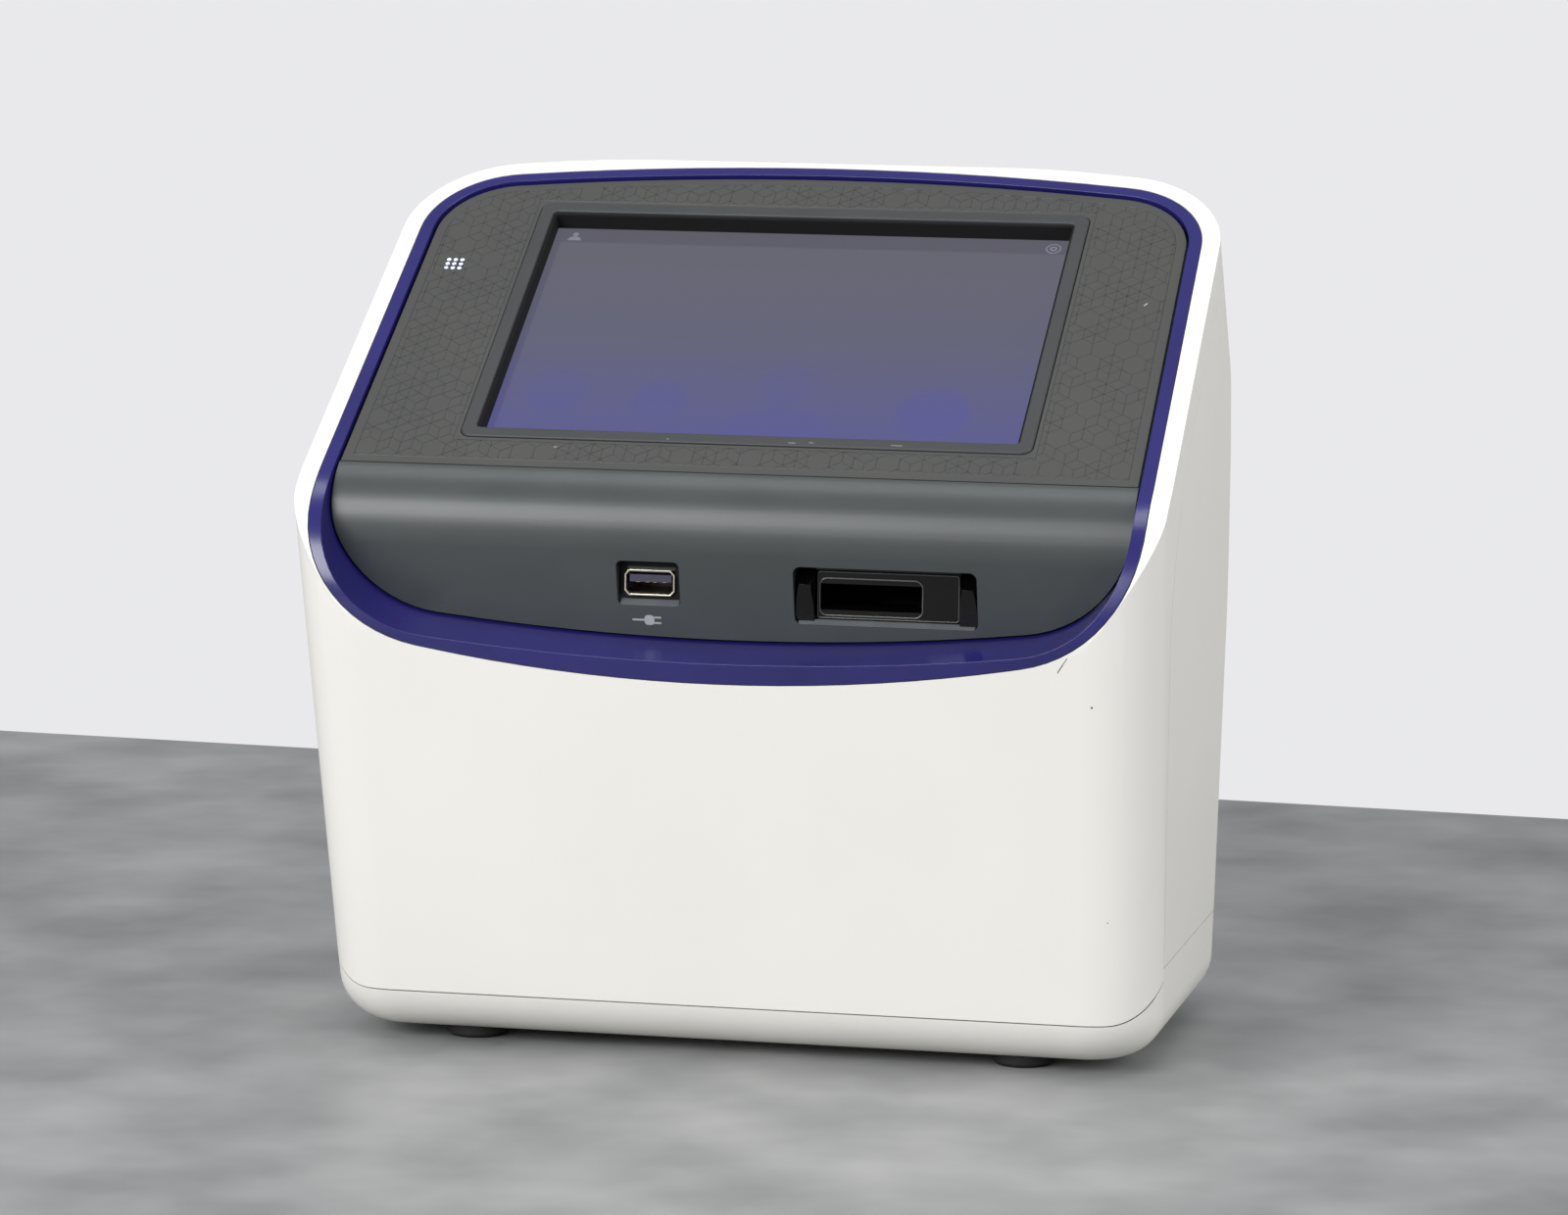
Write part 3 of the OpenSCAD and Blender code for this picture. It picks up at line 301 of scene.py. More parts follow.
PANEL_OUT = Vector((0, -0.54464, 0.83867))
PANEL_UP = Vector((0, 0.83867, 0.54464))
PANEL = face_matrix((0, -0.0490128, 0.1548479), PANEL_UP, PANEL_OUT)
GLASS = -5.0
FASCIA_OUT = Vector((0, -0.97237, -0.233445))
FASCIA_UP = Vector((0, -0.233445, 0.97237))
FASCIA_REACH = 24.1677
SIGN = face_matrix((-0.0215, -0.05286, 0.11665), FASCIA_UP, FASCIA_OUT)
print("panel starts at", [round(v, 4) for v in PANEL.translation])

# %% [markdown]
# ## More tools: pick, cut and bevel
# An edit-mode operator acts on what is selected. Here the selection is made in code, by a test
# on each face or edge, and then the operator runs as it would from the menu. A plane that cuts
# and fills is the quickest way to give a copied solid a slanted end.

# %% Edit-mode helpers
def pick(obj, faces=None, edges=None):
    """Select only the faces or edges that pass the test, and go into edit mode."""
    only(obj)
    bpy.ops.object.mode_set(mode="EDIT")
    bpy.ops.mesh.select_mode(type="FACE" if faces else "EDGE")
    bpy.ops.mesh.select_all(action="DESELECT")
    bpy.ops.object.mode_set(mode="OBJECT")
    points = obj.data.vertices
    for poly in obj.data.polygons if faces else []:
        poly.select = bool(faces(poly))
    for edge in obj.data.edges if edges else []:
        edge.select = bool(edges(*[points[i].co for i in edge.vertices]))
    bpy.ops.object.mode_set(mode="EDIT")


def cut_off(obj, point_mm, outward):
    """Cut away what lies past a plane, and close the cut."""
    only(obj)
    bpy.ops.object.mode_set(mode="EDIT")
    bpy.ops.mesh.select_all(action="SELECT")
    bpy.ops.mesh.bisect(plane_co=Vector(point_mm) * MM, plane_no=outward, use_fill=True,
                        clear_outer=True)
    bpy.ops.object.mode_set(mode="OBJECT")
    return obj


def block(name, centre_mm, size_mm, round_mm=0.0, along=2, segments=4):
    """A box at its size and place, with the four edges along one axis rounded."""
    bpy.ops.object.select_all(action="DESELECT")
    bpy.ops.mesh.primitive_cube_add(size=1, location=Vector(centre_mm) * MM)
    obj = bpy.context.object
    obj.name = obj.data.name = name
    obj.scale = Vector(size_mm) * MM
    settle(obj)
    if round_mm:
        across = [axis for axis in range(3) if axis != along]
        pick(obj, edges=lambda a, b: all(abs(a[k] - b[k]) < 1e-7 for k in across))
        bpy.ops.mesh.bevel(offset=round_mm * MM, segments=segments)
        bpy.ops.object.mode_set(mode="OBJECT")
    return obj


def joined(parts, name):
    """Join several objects into the first one and name it."""
    bpy.ops.object.select_all(action="DESELECT")
    for part in parts:
        part.select_set(True)
    bpy.context.view_layer.objects.active = parts[0]
    bpy.ops.object.join()
    parts[0].name = parts[0].data.name = name
    return parts[0]


def carve(obj, cutter):
    """Cut one closed shape out of another and throw the cutter away."""
    press(obj, "BOOLEAN", object=cutter, operation="DIFFERENCE", solver="EXACT")
    bpy.data.objects.remove(cutter)
    return obj

# %% [markdown]
# ## White housing
# Injection-moulded ABS blend with a fine satin spark texture: warm white, softly glossy. The
# texture is finer than a picture element, so its bumps are drawn 0.6 mm wide to show at all.
# The shells keep the CAD shape, and each gets a rounding of about 0.3 mm along its seams.

# %% White finish and the two shells
white = moulded("satin_white_abs", "#F3F1EB", 0.36, 1.52, (0.6, 0.006), ("#F4F2EC", "#F1EFE9"), 80)
cover("front_shell", "front_cover", white, "white_housing", 0.35, 2)
cover("rear_shell", "rear_cover", white, "white_housing", 0.3, 2)

# %% [markdown]
# ## Indigo trim ring
# A separate moulding, snapped into the opening of the white shell. Its front edge is a full
# round that catches a thin bright line all the way round, so the bevel here is wide.

# %% Trim ring
indigo = moulded("satin_indigo_abs", "#232067", 0.22, 1.52, (0.5, 0.004),
                 ("#25226B", "#211E62"), 30)
cover("trim_ring", "indigo_ring", indigo, "indigo_trim", 1.0, 4)

# %% [markdown]
# ## Graphite fascia
# The fascia is ABS with a fine leather-like spark texture that blurs the light on its fold into a
# soft band. The USB socket stands at the back of a recess with a sloping lower wall, which is
# carved a little wider and deeper than in the CAD solid.

# %% Fascia
USB_X, USB_Z = -20.9, 126.4
USB_SLOPE = Vector((0, -0.711, 0.703))
fascia = moulded("textured_graphite_abs", "#3F4344", 0.36, 1.52, (0.4, 0.02),
                 ("#414546", "#3D4142"), 25)
nose = merged_copy("fascia_bezel", "graphite_fascia")
pit = block("pit", (USB_X, -56.1, USB_Z), (16.7, 7.8, 11.8), 1.5, 1, 6)
cut_off(pit, (0, -53.78, 120.5), -USB_SLOPE)
carve(nose, pit)
seat(soften(nose, 0.45, 3), fascia, "dark_fascia", "housing", "fascia_bezel")

# %% [markdown]
# ## Lip, gasket, overlay and screen
# The lip frames the screen with a small round on each edge, and a black foam gasket lines the pit
# behind it; its black is partly the display's own black border and partly painted shade on the
# walls of the pit. The overlay is a matt polycarbonate film, printed with fine lines and glued into
# the recess of the bezel. The screen is lit: three tones from top to bottom, and five soft discs.

# %% Lip and gasket
matt = moulded("matt_graphite_abs", "#37393A", 0.48, 1.52, (0.4, 0.015),
               ("#393B3C", "#353738"), 25)
cover("screen_lip", "screen_frame", matt, "dark_fascia", 0.45, 3)
# The black lining is partly the display's black border and partly painted shade in the pit.
gasket = block("display_gasket", (0, 63.14, -2.75), (144.4, 95.0, 4.5), 1.0, 2, 4)
pick(gasket, faces=lambda f: abs(f.normal.z) > 0.9)
bpy.ops.mesh.delete(type="FACE")
bpy.ops.object.mode_set(mode="OBJECT")
press(gasket, "SOLIDIFY", thickness=0.6 * MM, offset=-1.0)
# This black is foam on the gasket, and painted shade on the USB plate and the film's seam strip.
foam = moulded("black_foam_and_painted_shade", "#050506", 0.8, 1.45, (0.3, 0.02), ("#060607", "#040405"), 4)
seat(settle(gasket, PANEL), foam, "black_plastic")

# %% Overlay
film = moulded("matt_printed_polycarbonate", "#3F403E", 0.5, 1.58, (0.3, 0.006),
               ("#41423F", "#3D3E3C"), 40)
dress(film, "overlay_panel")

# %% Screen
LIT_LOW, LIT_HIGH = 158 * MM, 212 * MM
DISCS = ((-27.9, 36.8, 7.5, 0.13), (5.4, 43.9, 8.0, 0.1), (46.0, 33.8, 9.7, 0.2),
         (-55.9, 39.2, 8.5, 0.1), (5.5, 20.0, 15.0, 0.08))
DISC_BLUR = 1.5
screen, tree, shader = finish("lit_display_under_glass", "#101014", 0.1, 1.5)
where = add(tree, "ShaderNodeTexCoord").outputs["Object"]
height = add(tree, "ShaderNodeSeparateXYZ", links={"Vector": where}).outputs["Z"]
level = add(tree, "ShaderNodeMapRange", {"From Min": LIT_LOW, "From Max": LIT_HIGH},
            {"Value": height}).outputs[0]
for x, s, radius, depth in DISCS:
    centre = PANEL @ (Vector((x, s, GLASS)) * MM)
    away = add(tree, "ShaderNodeVectorMath", {1: centre}, {0: where}, operation="DISTANCE")
    disc = add(tree, "ShaderNodeMapRange",
               {"From Min": (radius + DISC_BLUR) * MM, "From Max": (radius - DISC_BLUR) * MM,
                "To Max": depth}, {"Value": away.outputs["Value"]})
    level = add(tree, "ShaderNodeMath", links={0: level, 1: disc.outputs[0]},
                operation="SUBTRACT").outputs[0]
ramp = add(tree, "ShaderNodeValToRGB", links={"Fac": level})
ramp.color_ramp.elements[0].color = linear("#5A5A99")
ramp.color_ramp.elements[1].color = linear("#64636D")
ramp.color_ramp.elements.new(0.5).color = linear("#62627A")
tree.links.new(ramp.outputs["Color"], shader.inputs["Emission Color"])
shader.inputs["Emission Strength"].default_value = 0.85
dress(screen, "touch_glass")

# %% [markdown]
# ## Metals and small parts
# The pieces inside keep their CAD shape. Each row gives a finish its colour, its roughness, how
# metallic it is, its index of refraction, the size of its bumps and the nodes that wear it.

# %% Metals and small parts
for name, colour, roughness, metallic, ior, bumps_mm, wearers in (
        ("ground_steel", "#BFBFC0", 0.25, 1.0, 1.5, (0.3, 0.004),
         ("guide_rods", "focus_screw", "cube_rails", "housing_screws", "inlet_pins")),
        ("gold_plate", "#D9B45A", 0.25, 1.0, 1.5, (0.3, 0.003), ("usb_contacts",)),
        # The tongue is violet grey plastic, made darker with painted shade, the shade deep in the
        # socket.
        ("violet_grey_polyamide_painted_shade", "#36334A", 0.45, 0.0, 1.5, (0.2, 0.01), ("usb_tongue",)),
        ("machined_aluminium", "#C4C6C8", 0.32, 1.0, 1.5, (0.3, 0.006),
         ("stage_guide", "bench_posts", "focus_carriage", "rail_blocks")),
        ("zinc_plated_sheet", "#B9BCBE", 0.35, 1.0, 1.5, (4.0, 0.01),
         ("chassis_plate", "power_supply", "display_module", "board_spacers")),
        ("black_anodised_aluminium", "#1C1C1E", 0.42, 0.6, 1.5, (0.3, 0.006),
         ("lamp_house", "objective", "focus_motor", "cube_shuttle", "light_cubes",
          "camera_module")),
        ("green_solder_mask", "#1E5A40", 0.3, 0.0, 1.55, (1.2, 0.02),
         ("display_board", "main_board", "usb_board", "light_board", "driver_board")),
        ("dark_rubber", "#1B1B1B", 0.8, 0.0, 1.52, (0.5, 0.03), ("feet",))):
    mat, tree, shader = finish(name, colour, roughness, ior, metallic)
    grain(tree, shader, *bumps_mm)
    dress(mat, *wearers)

# %% Lens and light dots
lens, tree, shader = finish("lens_glass", "#F2F8FA", 0.03, 1.52, Transmission_Weight=1.0)
grain(tree, shader, 5.0, 0.001)
dress(lens, "condenser_lens")
lights, tree, shader = finish("lit_acrylic", "#D8E0FF", 0.3, 1.49, Emission_Strength=1.0)
shader.inputs["Emission Color"].default_value = linear("#D8E0FF")
grain(tree, shader, 0.3, 0.004)
dress(lights, "status_lights")

# %% [markdown]
# ## Base tray
# The white tray closes the housing from below. Its upright corners and its lower edge are full
# rounds that run into each other, so that the instrument seems to float on its feet. A block
# gets both bevels, its top is opened and its wall made, and then the parting line to the shells
# is cut: level at the back, and lower in front, where the front shell reaches down.

# %% Tray body
TRAY_CENTRE, TRAY_SIZE = (0, 13.625, 21.5), (221.62, 114.75, 37.0)
TRAY_BOTTOM, TRAY_TOP, TRAY_BACK = 3.0, 40.0, 71.0
TRAY_FLARE = (1.00812, 1.07739, 1)
FRONT_CORNER, REAR_CORNER, LOWER_ROUND = 20, 15, 13
TRAY_WALL = 2.6
base = block("base_cover", TRAY_CENTRE, TRAY_SIZE)
pick(base, faces=lambda f: f.normal.z > 0.9)
bpy.ops.transform.resize(value=TRAY_FLARE,
                         center_override=Vector((0, TRAY_BACK, TRAY_TOP)) * MM)
for in_front, radius in ((True, FRONT_CORNER), (False, REAR_CORNER)):
    pick(base, edges=lambda a, b: abs(a.z - b.z) > 30 * MM and (a.y < 0) == in_front)
    bpy.ops.mesh.bevel(offset=radius * MM, segments=16)
pick(base, edges=lambda a, b: max(a.z, b.z) < (TRAY_BOTTOM + 0.01) * MM)
bpy.ops.mesh.bevel(offset=LOWER_ROUND * MM, segments=10)
pick(base, faces=lambda f: f.normal.z > 0.9)
bpy.ops.mesh.delete(type="FACE")
bpy.ops.object.mode_set(mode="OBJECT")
press(base, "SOLIDIFY", thickness=TRAY_WALL * MM, offset=-1.0, use_even_offset=True)
print("tray wall:", len(base.data.polygons), "faces")

# %% Parting line, vents and recesses
SEAM_Y, SEAM_OUT = -26.269, Vector((0, 0.98876, 0.14954))
VENT_PITCH, VENT_COUNT = 9, 9
FOOT_X, FOOT_Y, FOOT_HOLE = 74, (-26, 50), 16.4
SCREW_X, SCREW_Y, SCREW_HOLE = 88, (-28, 50), 6.6
carve(base, block("above", (0, 0, 47.65), (260, 260, 40.0)))
reach = block("reach", (0, -60, 44.35), (223.44, 80, 60.0), 13, 1, 12)
carve(base, cut_off(reach, (0, SEAM_Y, 0), SEAM_OUT))
for i in range(VENT_COUNT):
    carve(base, block("vent", (VENT_PITCH * (i - VENT_COUNT // 2), 12, 4), (3, 34, 8), 1.4, 2, 4))


def drill(obj, x, y, low, high, diameter):
    """An upright round hole between two heights."""
    bpy.ops.object.select_all(action="DESELECT")
    bpy.ops.mesh.primitive_cylinder_add(vertices=32, radius=diameter / 2 * MM,
                                        depth=(high - low) * MM,
                                        location=Vector((x, y, (low + high) / 2)) * MM)
    carve(obj, settle(bpy.context.object))


for side in (-1, 1):
    for y in FOOT_Y:
        drill(base, side * FOOT_X, y, 1, 4, FOOT_HOLE)
    for y in SCREW_Y:
        drill(base, side * SCREW_X, y, 1, 4.8, SCREW_HOLE)
seat(soften(base, 0.25, 2), white, "white_housing", "housing", "base_tray")

# %% [markdown]
# ## Slide port
# A glossy black moulding with two ears stands in the recess, and between them sits the mouth
# that takes the slide. The ears end 1 mm behind the fascia and lean back at the top. The copy
# of the CAD frame is cut by those two planes and its edges are rounded to catch the light.

# %% Port frame and carriage
EAR_DEPTH = 1.0
EAR_KNEE, EAR_LEAN = (0, -54.46, 127.6), Vector((0, -0.797, 0.604))
black = moulded("gloss_black_polycarbonate", "#040405", 0.12, 1.58, (0.5, 0.003),
                ("#050506", "#030303"), 12, Specular_IOR_Level=0.22)
bezel = merged_copy("port_frame", "port_bezel")
cut_off(bezel, FASCIA_OUT * (FASCIA_REACH - EAR_DEPTH), FASCIA_OUT)
cut_off(bezel, EAR_KNEE, EAR_LEAN)
seat(soften(bezel, 0.3, 2), black, "black_plastic", "housing", "port_frame")
dress(black, "slide_carriage")


def bead(name, centre_mm, size_mm, round_mm, width_mm):
    """A closed rim that follows a rounded rectangle on an upright face."""
    obj = block(name, centre_mm, size_mm, round_mm, 1, 6)
    pick(obj, faces=lambda f: abs(f.normal.y) > 0.9)
    bpy.ops.mesh.inset(thickness=width_mm * MM)
    bpy.ops.mesh.bridge_edge_loops()
    bpy.ops.object.mode_set(mode="OBJECT")
    return soften(obj, min(width_mm * 0.35, size_mm[1] * 0.3), 2)


rims = [bead("rim", (36.9, -50.4, 124.2), (27.4, 0.5, 10.0), 2.2, 0.4),
        bead("rim", (41.4, -50.4, 124.7), (37.2, 0.5, 12.2), 0.8, 0.3)]
# The rims are paler than the black face: painted highlight, the light lines that their edges catch.
edge, tree, shader = finish("black_rim_painted_highlight", "#4A4845", 0.25, 1.58)
grain(tree, shader, 0.5, 0.002)
seat(joined(rims, "mouth_rims"), edge, "black_plastic", "carriage")

# %% [markdown]
# ## Sills of the two recesses
# The lower wall of each recess slopes outwards and has no texture. Its colour, paler than the
# fascia, is a painted highlight for the sheen on that slope. Each sill is a block whose front is
# cut off along that slope. A black plate round the socket is painted shade at the back of the USB
# recess.

# %% Sills
# The paler colour is painted highlight on the sloping sills.
smooth = moulded("graphite_abs_painted_sheen", "#5F6265", 0.3, 1.52, (0.5, 0.003),
                 ("#626568", "#5B5E61"), 6)
sill = block("port_sill", (41.4, -51.9, 117.75), (46.2, 2.2, 1.3))
cut_off(sill, (0, -52.9, 117.1), Vector((0, -0.75, 0.66)))
seat(soften(sill, 0.12, 2), smooth, "dark_fascia")
ledge = block("usb_sill", (USB_X, -53.02, 121.3), (15.6, 1.5, 1.6))
cut_off(ledge, (0, -53.85, 120.55), USB_SLOPE)
seat(soften(ledge, 0.12, 2), smooth, "dark_fascia")
# A black plate round the socket: painted shade at the back of the USB recess.
well = bead("usb_painted_shade_plate", (USB_X, -52.3, 127.2), (16.4, 0.3, 10.0), 1.9, 1.7)
seat(well, foam, "black_plastic")

# %% [markdown]
# ## Mains inlet and switch
# The inlet, the switch body and its rocker are moulded in the same black as the port.

# %% Mains inlet and switch
cover("power_inlet", "inlet_cover", black, "black_plastic", 0.35, 2)
cover("switch_body", "switch_cover", black, "black_plastic", 0.35, 2)
cover("power_rocker", "rocker_cover", black, "black_plastic", 0.35, 2, "rocker")

# %% [markdown]
# ## USB socket
# The socket is a folded sheet-metal shell with cut corners and a lip that flares outwards at the
# mouth. A block gets its four long edges cut off, its front face is pushed out and widened for
# the lip, then inset and pushed back in to hollow the shell.

# %% USB shell
USB = Vector((USB_X, -53.5, USB_Z))
shell = block("usb_flared_shell", USB + Vector((0, 8.75, 0)), (13.0, 16.5, 6.0), 1.1, 1, 1)
pick(shell, faces=lambda f: f.normal.y < -0.9)
mouth = USB * MM
bpy.ops.mesh.extrude_region_move(TRANSFORM_OT_translate={"value": (0, -0.5 * MM, 0)})
bpy.ops.transform.resize(value=(1.025, 1, 1.13), center_override=mouth)
bpy.ops.mesh.inset(thickness=0.42 * MM)
bpy.ops.mesh.extrude_region_move(TRANSFORM_OT_translate={"value": (0, 0.5 * MM, 0)})
bpy.ops.transform.resize(value=(0.975, 1, 0.88), center_override=mouth)
bpy.ops.mesh.extrude_region_move(TRANSFORM_OT_translate={"value": (0, 13.5 * MM, 0)})
bpy.ops.object.mode_set(mode="OBJECT")
nickel, tree, shader = finish("warm_nickel_plate", "#CFC7B4", 0.24, metallic=1.0)
grain(tree, shader, 0.6, 0.004)
seat(soften(shell, 0.1, 2), nickel, "socket_steel", "housing", "usb_shell")

# %% [markdown]
# ## Plug sign
# A small printed sign under the socket says what it is for. A generic plug is drawn here: a lead,
# a body with two round corners and two prongs. Each part is a thin plate that lies on the fascia.

# %% Plug sign
parts = [block("sign", (-2.4, 0, 0), (3.2, 0.5, 0.1)),
         block("sign", (0.5, 0, 0), (2.6, 2.7, 0.1), 0.9),
         block("sign", (2.7, 0.75, 0), (1.9, 0.5, 0.1), 0.2),
         block("sign", (2.7, -0.75, 0), (1.9, 0.5, 0.1), 0.2)]
ink = moulded("pad_printed_grey_ink", "#A6AAAC", 0.5, 1.5, (0.2, 0.002), ("#A9ADAF", "#A2A6A8"), 2)
seat(settle(joined(parts, "plug_sign"), SIGN), ink, "dark_fascia")

# %% [markdown]
# ## Printed lines of the overlay
# The film carries a fine print of hexagons, some empty and some with lines to all corners or to
# every other corner, so that cubes seem to stand up here and there. One tile of each kind is
# modelled and copied over the panel, apart from the places well inside the window, and their
# common corners are merged. The sheet of tiles is then cut along the border of the film and
# round the window, and a Wireframe modifier turns each edge into a fine line. The tiles are
# drawn somewhat taller than wide.

# %% Four kinds of tile
TILE = 3.5
TALL = 1.2
BORDER = 2.7
LINE_WIDTH = 0.16
WINDOW = (-77.3, 77.3, 10.5, 115.8)


def hexagon(kind):
    """One tile: 0 is empty, 1 has six spokes, 2 and 3 keep every other spoke."""
    bpy.ops.object.select_all(action="DESELECT")
    bpy.ops.mesh.primitive_circle_add(vertices=6, radius=TILE * MM,
                                      fill_type="TRIFAN" if kind else "NGON")
    obj = bpy.context.object
    if kind > 1:
        spare = [math.pi / 2 + math.pi / 3 * k for k in range(kind - 2, 6, 2)]
        ends = [Vector((math.cos(a), math.sin(a), 0)) * TILE * MM for a in spare]
        pick(obj, edges=lambda a, b: min(a.length, b.length) < 1e-6
             and any(((a + b) - end).length < 1e-5 for end in ends))
        bpy.ops.mesh.dissolve_edges(use_verts=False)
        bpy.ops.object.mode_set(mode="OBJECT")
    return obj


kinds = [hexagon(kind) for kind in range(4)]
print("tiles:", [len(tile.data.polygons) for tile in kinds])

# %% Lay the tiles
ROWS, COLUMNS = range(-1, 24), range(-19, 20)
MARGIN = 4
rng = random.Random(19)
tiles = []
for row in ROWS:
    for column in COLUMNS:
        x = (column + 0.5 * (row % 2)) * math.sqrt(3) * TILE
        s = row * 1.5 * TILE * TALL
        if (WINDOW[0] + MARGIN < x < WINDOW[1] - MARGIN
                and WINDOW[2] + MARGIN < s < WINDOW[3] - MARGIN):
            continue
        copy = bpy.data.objects.new("tile", rng.choice(kinds).data.copy())
        copy.data.transform(Matrix.Translation((x * MM, s * MM, 0))
                            @ Matrix.Diagonal((1, TALL, 1, 1)))
        bpy.context.collection.objects.link(copy)
        tiles.append(copy)
for tile in kinds:
    bpy.data.objects.remove(tile)
lines = joined(tiles, "printed_lines")
only(lines)
bpy.ops.object.mode_set(mode="EDIT")
bpy.ops.mesh.select_all(action="SELECT")
bpy.ops.mesh.remove_doubles(threshold=0.00002)
bpy.ops.object.mode_set(mode="OBJECT")
print("tiles laid:", len(lines.data.polygons), "faces")

# %% Cut them to the film
flat = [PANEL.inverted() @ v.co for v in nodes["overlay_panel"].data.vertices]
rim = [Vector(p[:2]) for p in flat if abs(p.z) < 0.00005]
hull = [rim[i] for i in convex_hull_2d(rim)]
turn = sum(a.x * b.y - a.y * b.x for a, b in zip(hull, hull[1:] + hull[:1]))
hull = hull if turn > 0 else hull[::-1]
for a, b in zip(hull, hull[1:] + hull[:1]):
    if (b - a).length > 0.0002:
        out = Vector((b.y - a.y, a.x - b.x, 0)).normalized()
        only(lines)
        bpy.ops.object.mode_set(mode="EDIT")
        bpy.ops.mesh.select_all(action="SELECT")
        bpy.ops.mesh.bisect(plane_co=Vector((a.x, a.y, 0)) - out * BORDER * MM, plane_no=out,
                            clear_outer=True)
bpy.ops.object.mode_set(mode="OBJECT")


def near_window(poly, side):
    """True for a tile that one side of the window runs through."""
    spots = [lines.data.vertices[i].co / MM for i in poly.vertices]
    low = [min(p[k] for p in spots) for k in (0, 1)]
    high = [max(p[k] for p in spots) for k in (0, 1)]
    axis = side // 2
    other = (WINDOW[2:], WINDOW[:2])[axis]
    return (low[axis] < WINDOW[side] < high[axis]
            and high[1 - axis] > other[0] and low[1 - axis] < other[1])


for side in range(4):
    pick(lines, faces=lambda poly: near_window(poly, side))
    spot = Vector((WINDOW[side], 0, 0) if side < 2 else (0, WINDOW[side], 0)) * MM
    bpy.ops.mesh.bisect(plane_co=spot, plane_no=(1, 0, 0) if side < 2 else (0, 1, 0))
pick(lines, faces=lambda poly: WINDOW[0] < poly.center.x / MM < WINDOW[1]
     and WINDOW[2] < poly.center.y / MM < WINDOW[3])
bpy.ops.mesh.delete(type="FACE")
bpy.ops.object.mode_set(mode="OBJECT")
press(lines, "WIREFRAME", thickness=LINE_WIDTH * MM, use_even_offset=False,
      use_boundary=True, use_replace=True)
print_ink = moulded("screen_printed_graphite_ink", "#33363A", 0.42, 1.5, (0.2, 0.002),
                    ("#36393D", "#303337"), 3)
seat(settle(lines, PANEL), print_ink, "printed_overlay")

# %% [markdown]
# ## Signs on the display
# Two small signs stand at the top of the lit picture: a user at the left and a dial in a ring at
# the right. They are thin flat plates of light that lie on the glass, which carries the picture.

# %% Display signs
COIN = 0.06
USER_X, DIAL = -66.1, (66.6, 106.3)


def coin(x, s, radius, hole=0.0, vertices=32):
    """A flat disc or ring on the glass."""
    bpy.ops.object.select_all(action="DESELECT")
    bpy.ops.mesh.primitive_cylinder_add(vertices=vertices, radius=radius * MM, depth=COIN * MM,
                                        location=(x * MM, s * MM, GLASS * MM))
    obj = bpy.context.object
    settle(obj)
    if hole:
        pick(obj, faces=lambda f: abs(f.normal.z) > 0.9)
        bpy.ops.mesh.inset(thickness=(radius - hole) * MM)
        bpy.ops.mesh.bridge_edge_loops()
        bpy.ops.object.mode_set(mode="OBJECT")
    return obj


shoulders = coin(USER_X, 104.6, 1.9)
cut_off(shoulders, (0, 104.7, 0), Vector((0, -1, 0)))
signs = joined([shoulders, coin(USER_X, 107.4, 0.8), coin(*DIAL, 2.1, 1.75),
                coin(*DIAL, 1.05, 0.55, 8)], "display_signs")
glow, tree, shader = finish("lit_display_white", "#101014", 0.3, Emission_Strength=1.0)
shader.inputs["Emission Color"].default_value = linear("#80808F")
grain(tree, shader, 0.5, 0.001)
seat(settle(signs, PANEL), glow, "screen_glass")

# %% [markdown]
# ## Marks of use
# A bench instrument is handled every day. A scratch and two dark specks mark the white front, and
# a nick marks its rim. Each is a thin plate a few tenths of a millimetre wide that lies on the
# surface.

# %% Marks of use
MARK = 0.07


def mark(start_mm, end_mm, normal, wide):
    """A thin plate from one point to the other, flat on the surface."""
    a, b = Vector(start_mm), Vector(end_mm)
    along = (b - a).normalized()
    out = Vector(normal).normalized()
    out = (out - along * out.dot(along)).normalized()
    place = Matrix((along, out.cross(along), out)).transposed().to_4x4()
    place.translation = (a + b) / 2 * MM
    return settle(block("mark", (0, 0, 0), ((b - a).length, wide, MARK), wide / 3, 2, 2), place)


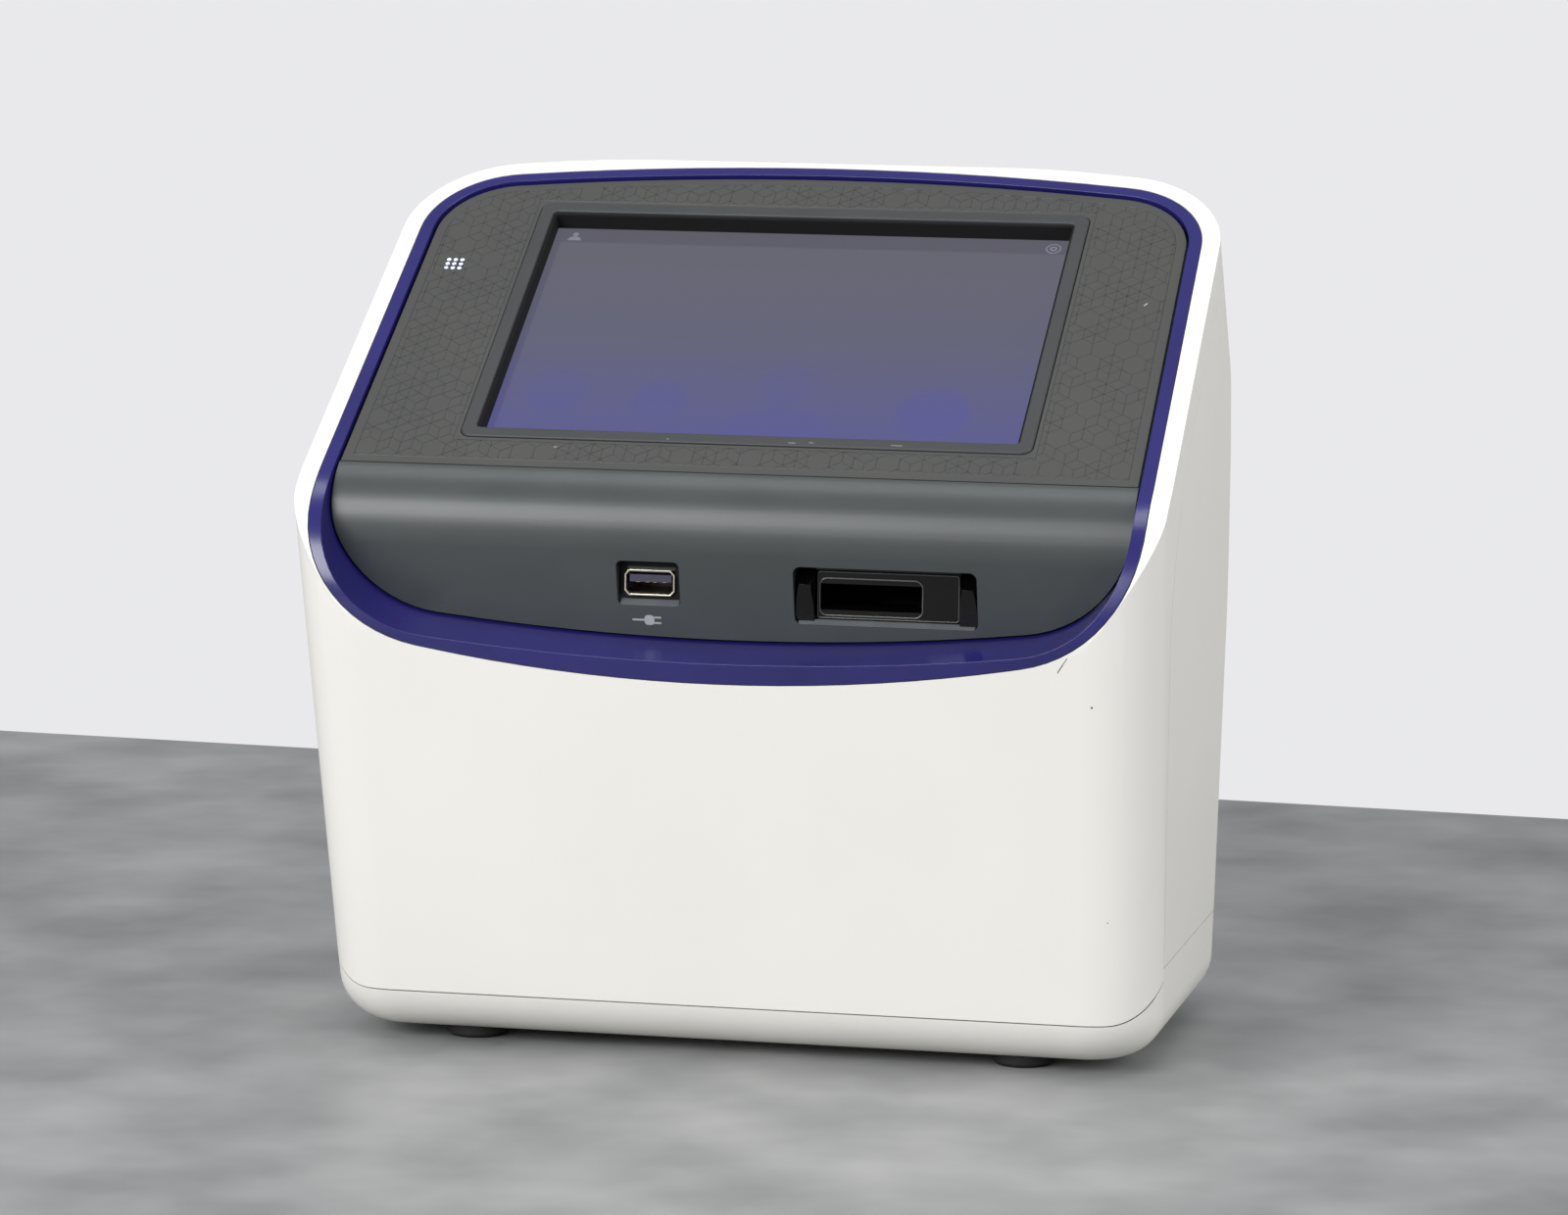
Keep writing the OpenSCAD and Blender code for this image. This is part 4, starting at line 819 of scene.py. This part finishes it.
def on_panel(x, s, height, length, wide=0.25, turn_deg=0.0):
    """The same on the sloping panel, given by its local place."""
    turn = math.radians(turn_deg)
    reach = Vector((math.cos(turn), math.sin(turn), 0)) * length / 2
    ends = [PANEL @ ((Vector((x, s, height)) + k * reach) * MM) / MM for k in (-1, 1)]
    return mark(*ends, PANEL_OUT, wide)


FRONT = (0, -0.98, -0.22)
scuffs = [mark((91.46, -70.24, 113.43), (90.3, -69.85, 111.7), FRONT, 0.17),
          mark((90.3, -69.85, 111.7), (88.86, -69.3, 109.46), FRONT, 0.22),
          mark((97.1, -66.88, 101.0), (97.5, -66.75, 100.4), (0.2, -0.95, -0.23), 0.45),
          mark((99.85, -51.69, 43.2), (99.9, -51.6, 42.8), (0.42, -0.88, -0.22), 0.35),
          mark((101.7, -70.55, 127.05), (102.5, -70.4, 127.0), (0, -0.99, 0.16), 0.3)]
scuff, tree, shader = finish("dark_scuff", "#3E3D3C", 0.6)
grain(tree, shader, 0.1, 0.01)
seat(joined(scuffs, "scuff_marks"), scuff, "white_housing")

# %% [markdown]
# ## Seam shade and dust of the film
# A thin black strip along the lower edge of the film is painted shade, the shade in the step of
# the seam, and pale dust has settled in the corner between the lip and the film.

# %% Seam and dust
dust = [on_panel(96.3, 76.3, 0, 1.4, 0.4, 55), on_panel(-49.2, 8.7, 0, 1.2),
        on_panel(13.0, 12.9, 0.5, 2.0, 0.18), on_panel(18.1, 13.2, 0.5, 1.2, 0.18),
        on_panel(40.6, 13.15, 0.5, 3.0, 0.16), on_panel(-20, 12.9, 0.5, 0.6, 0.18)]
low = min(p.y for p in hull) / MM
ends = [p.x / MM for p in hull if p.y / MM < low + 0.5]
# A black strip along the film's lower edge: painted shade in the step of the seam.
seam = on_panel(0, low - 0.12, 0, max(ends) - min(ends), 0.32)
seam.name = "film_seam_painted_shade"
seat(seam, foam, "black_plastic")
lint, tree, shader = finish("pale_dust", "#A8ABAD", 0.9)
grain(tree, shader, 0.1, 0.01)
seat(joined(dust, "dust_specks"), lint, "dark_fascia")
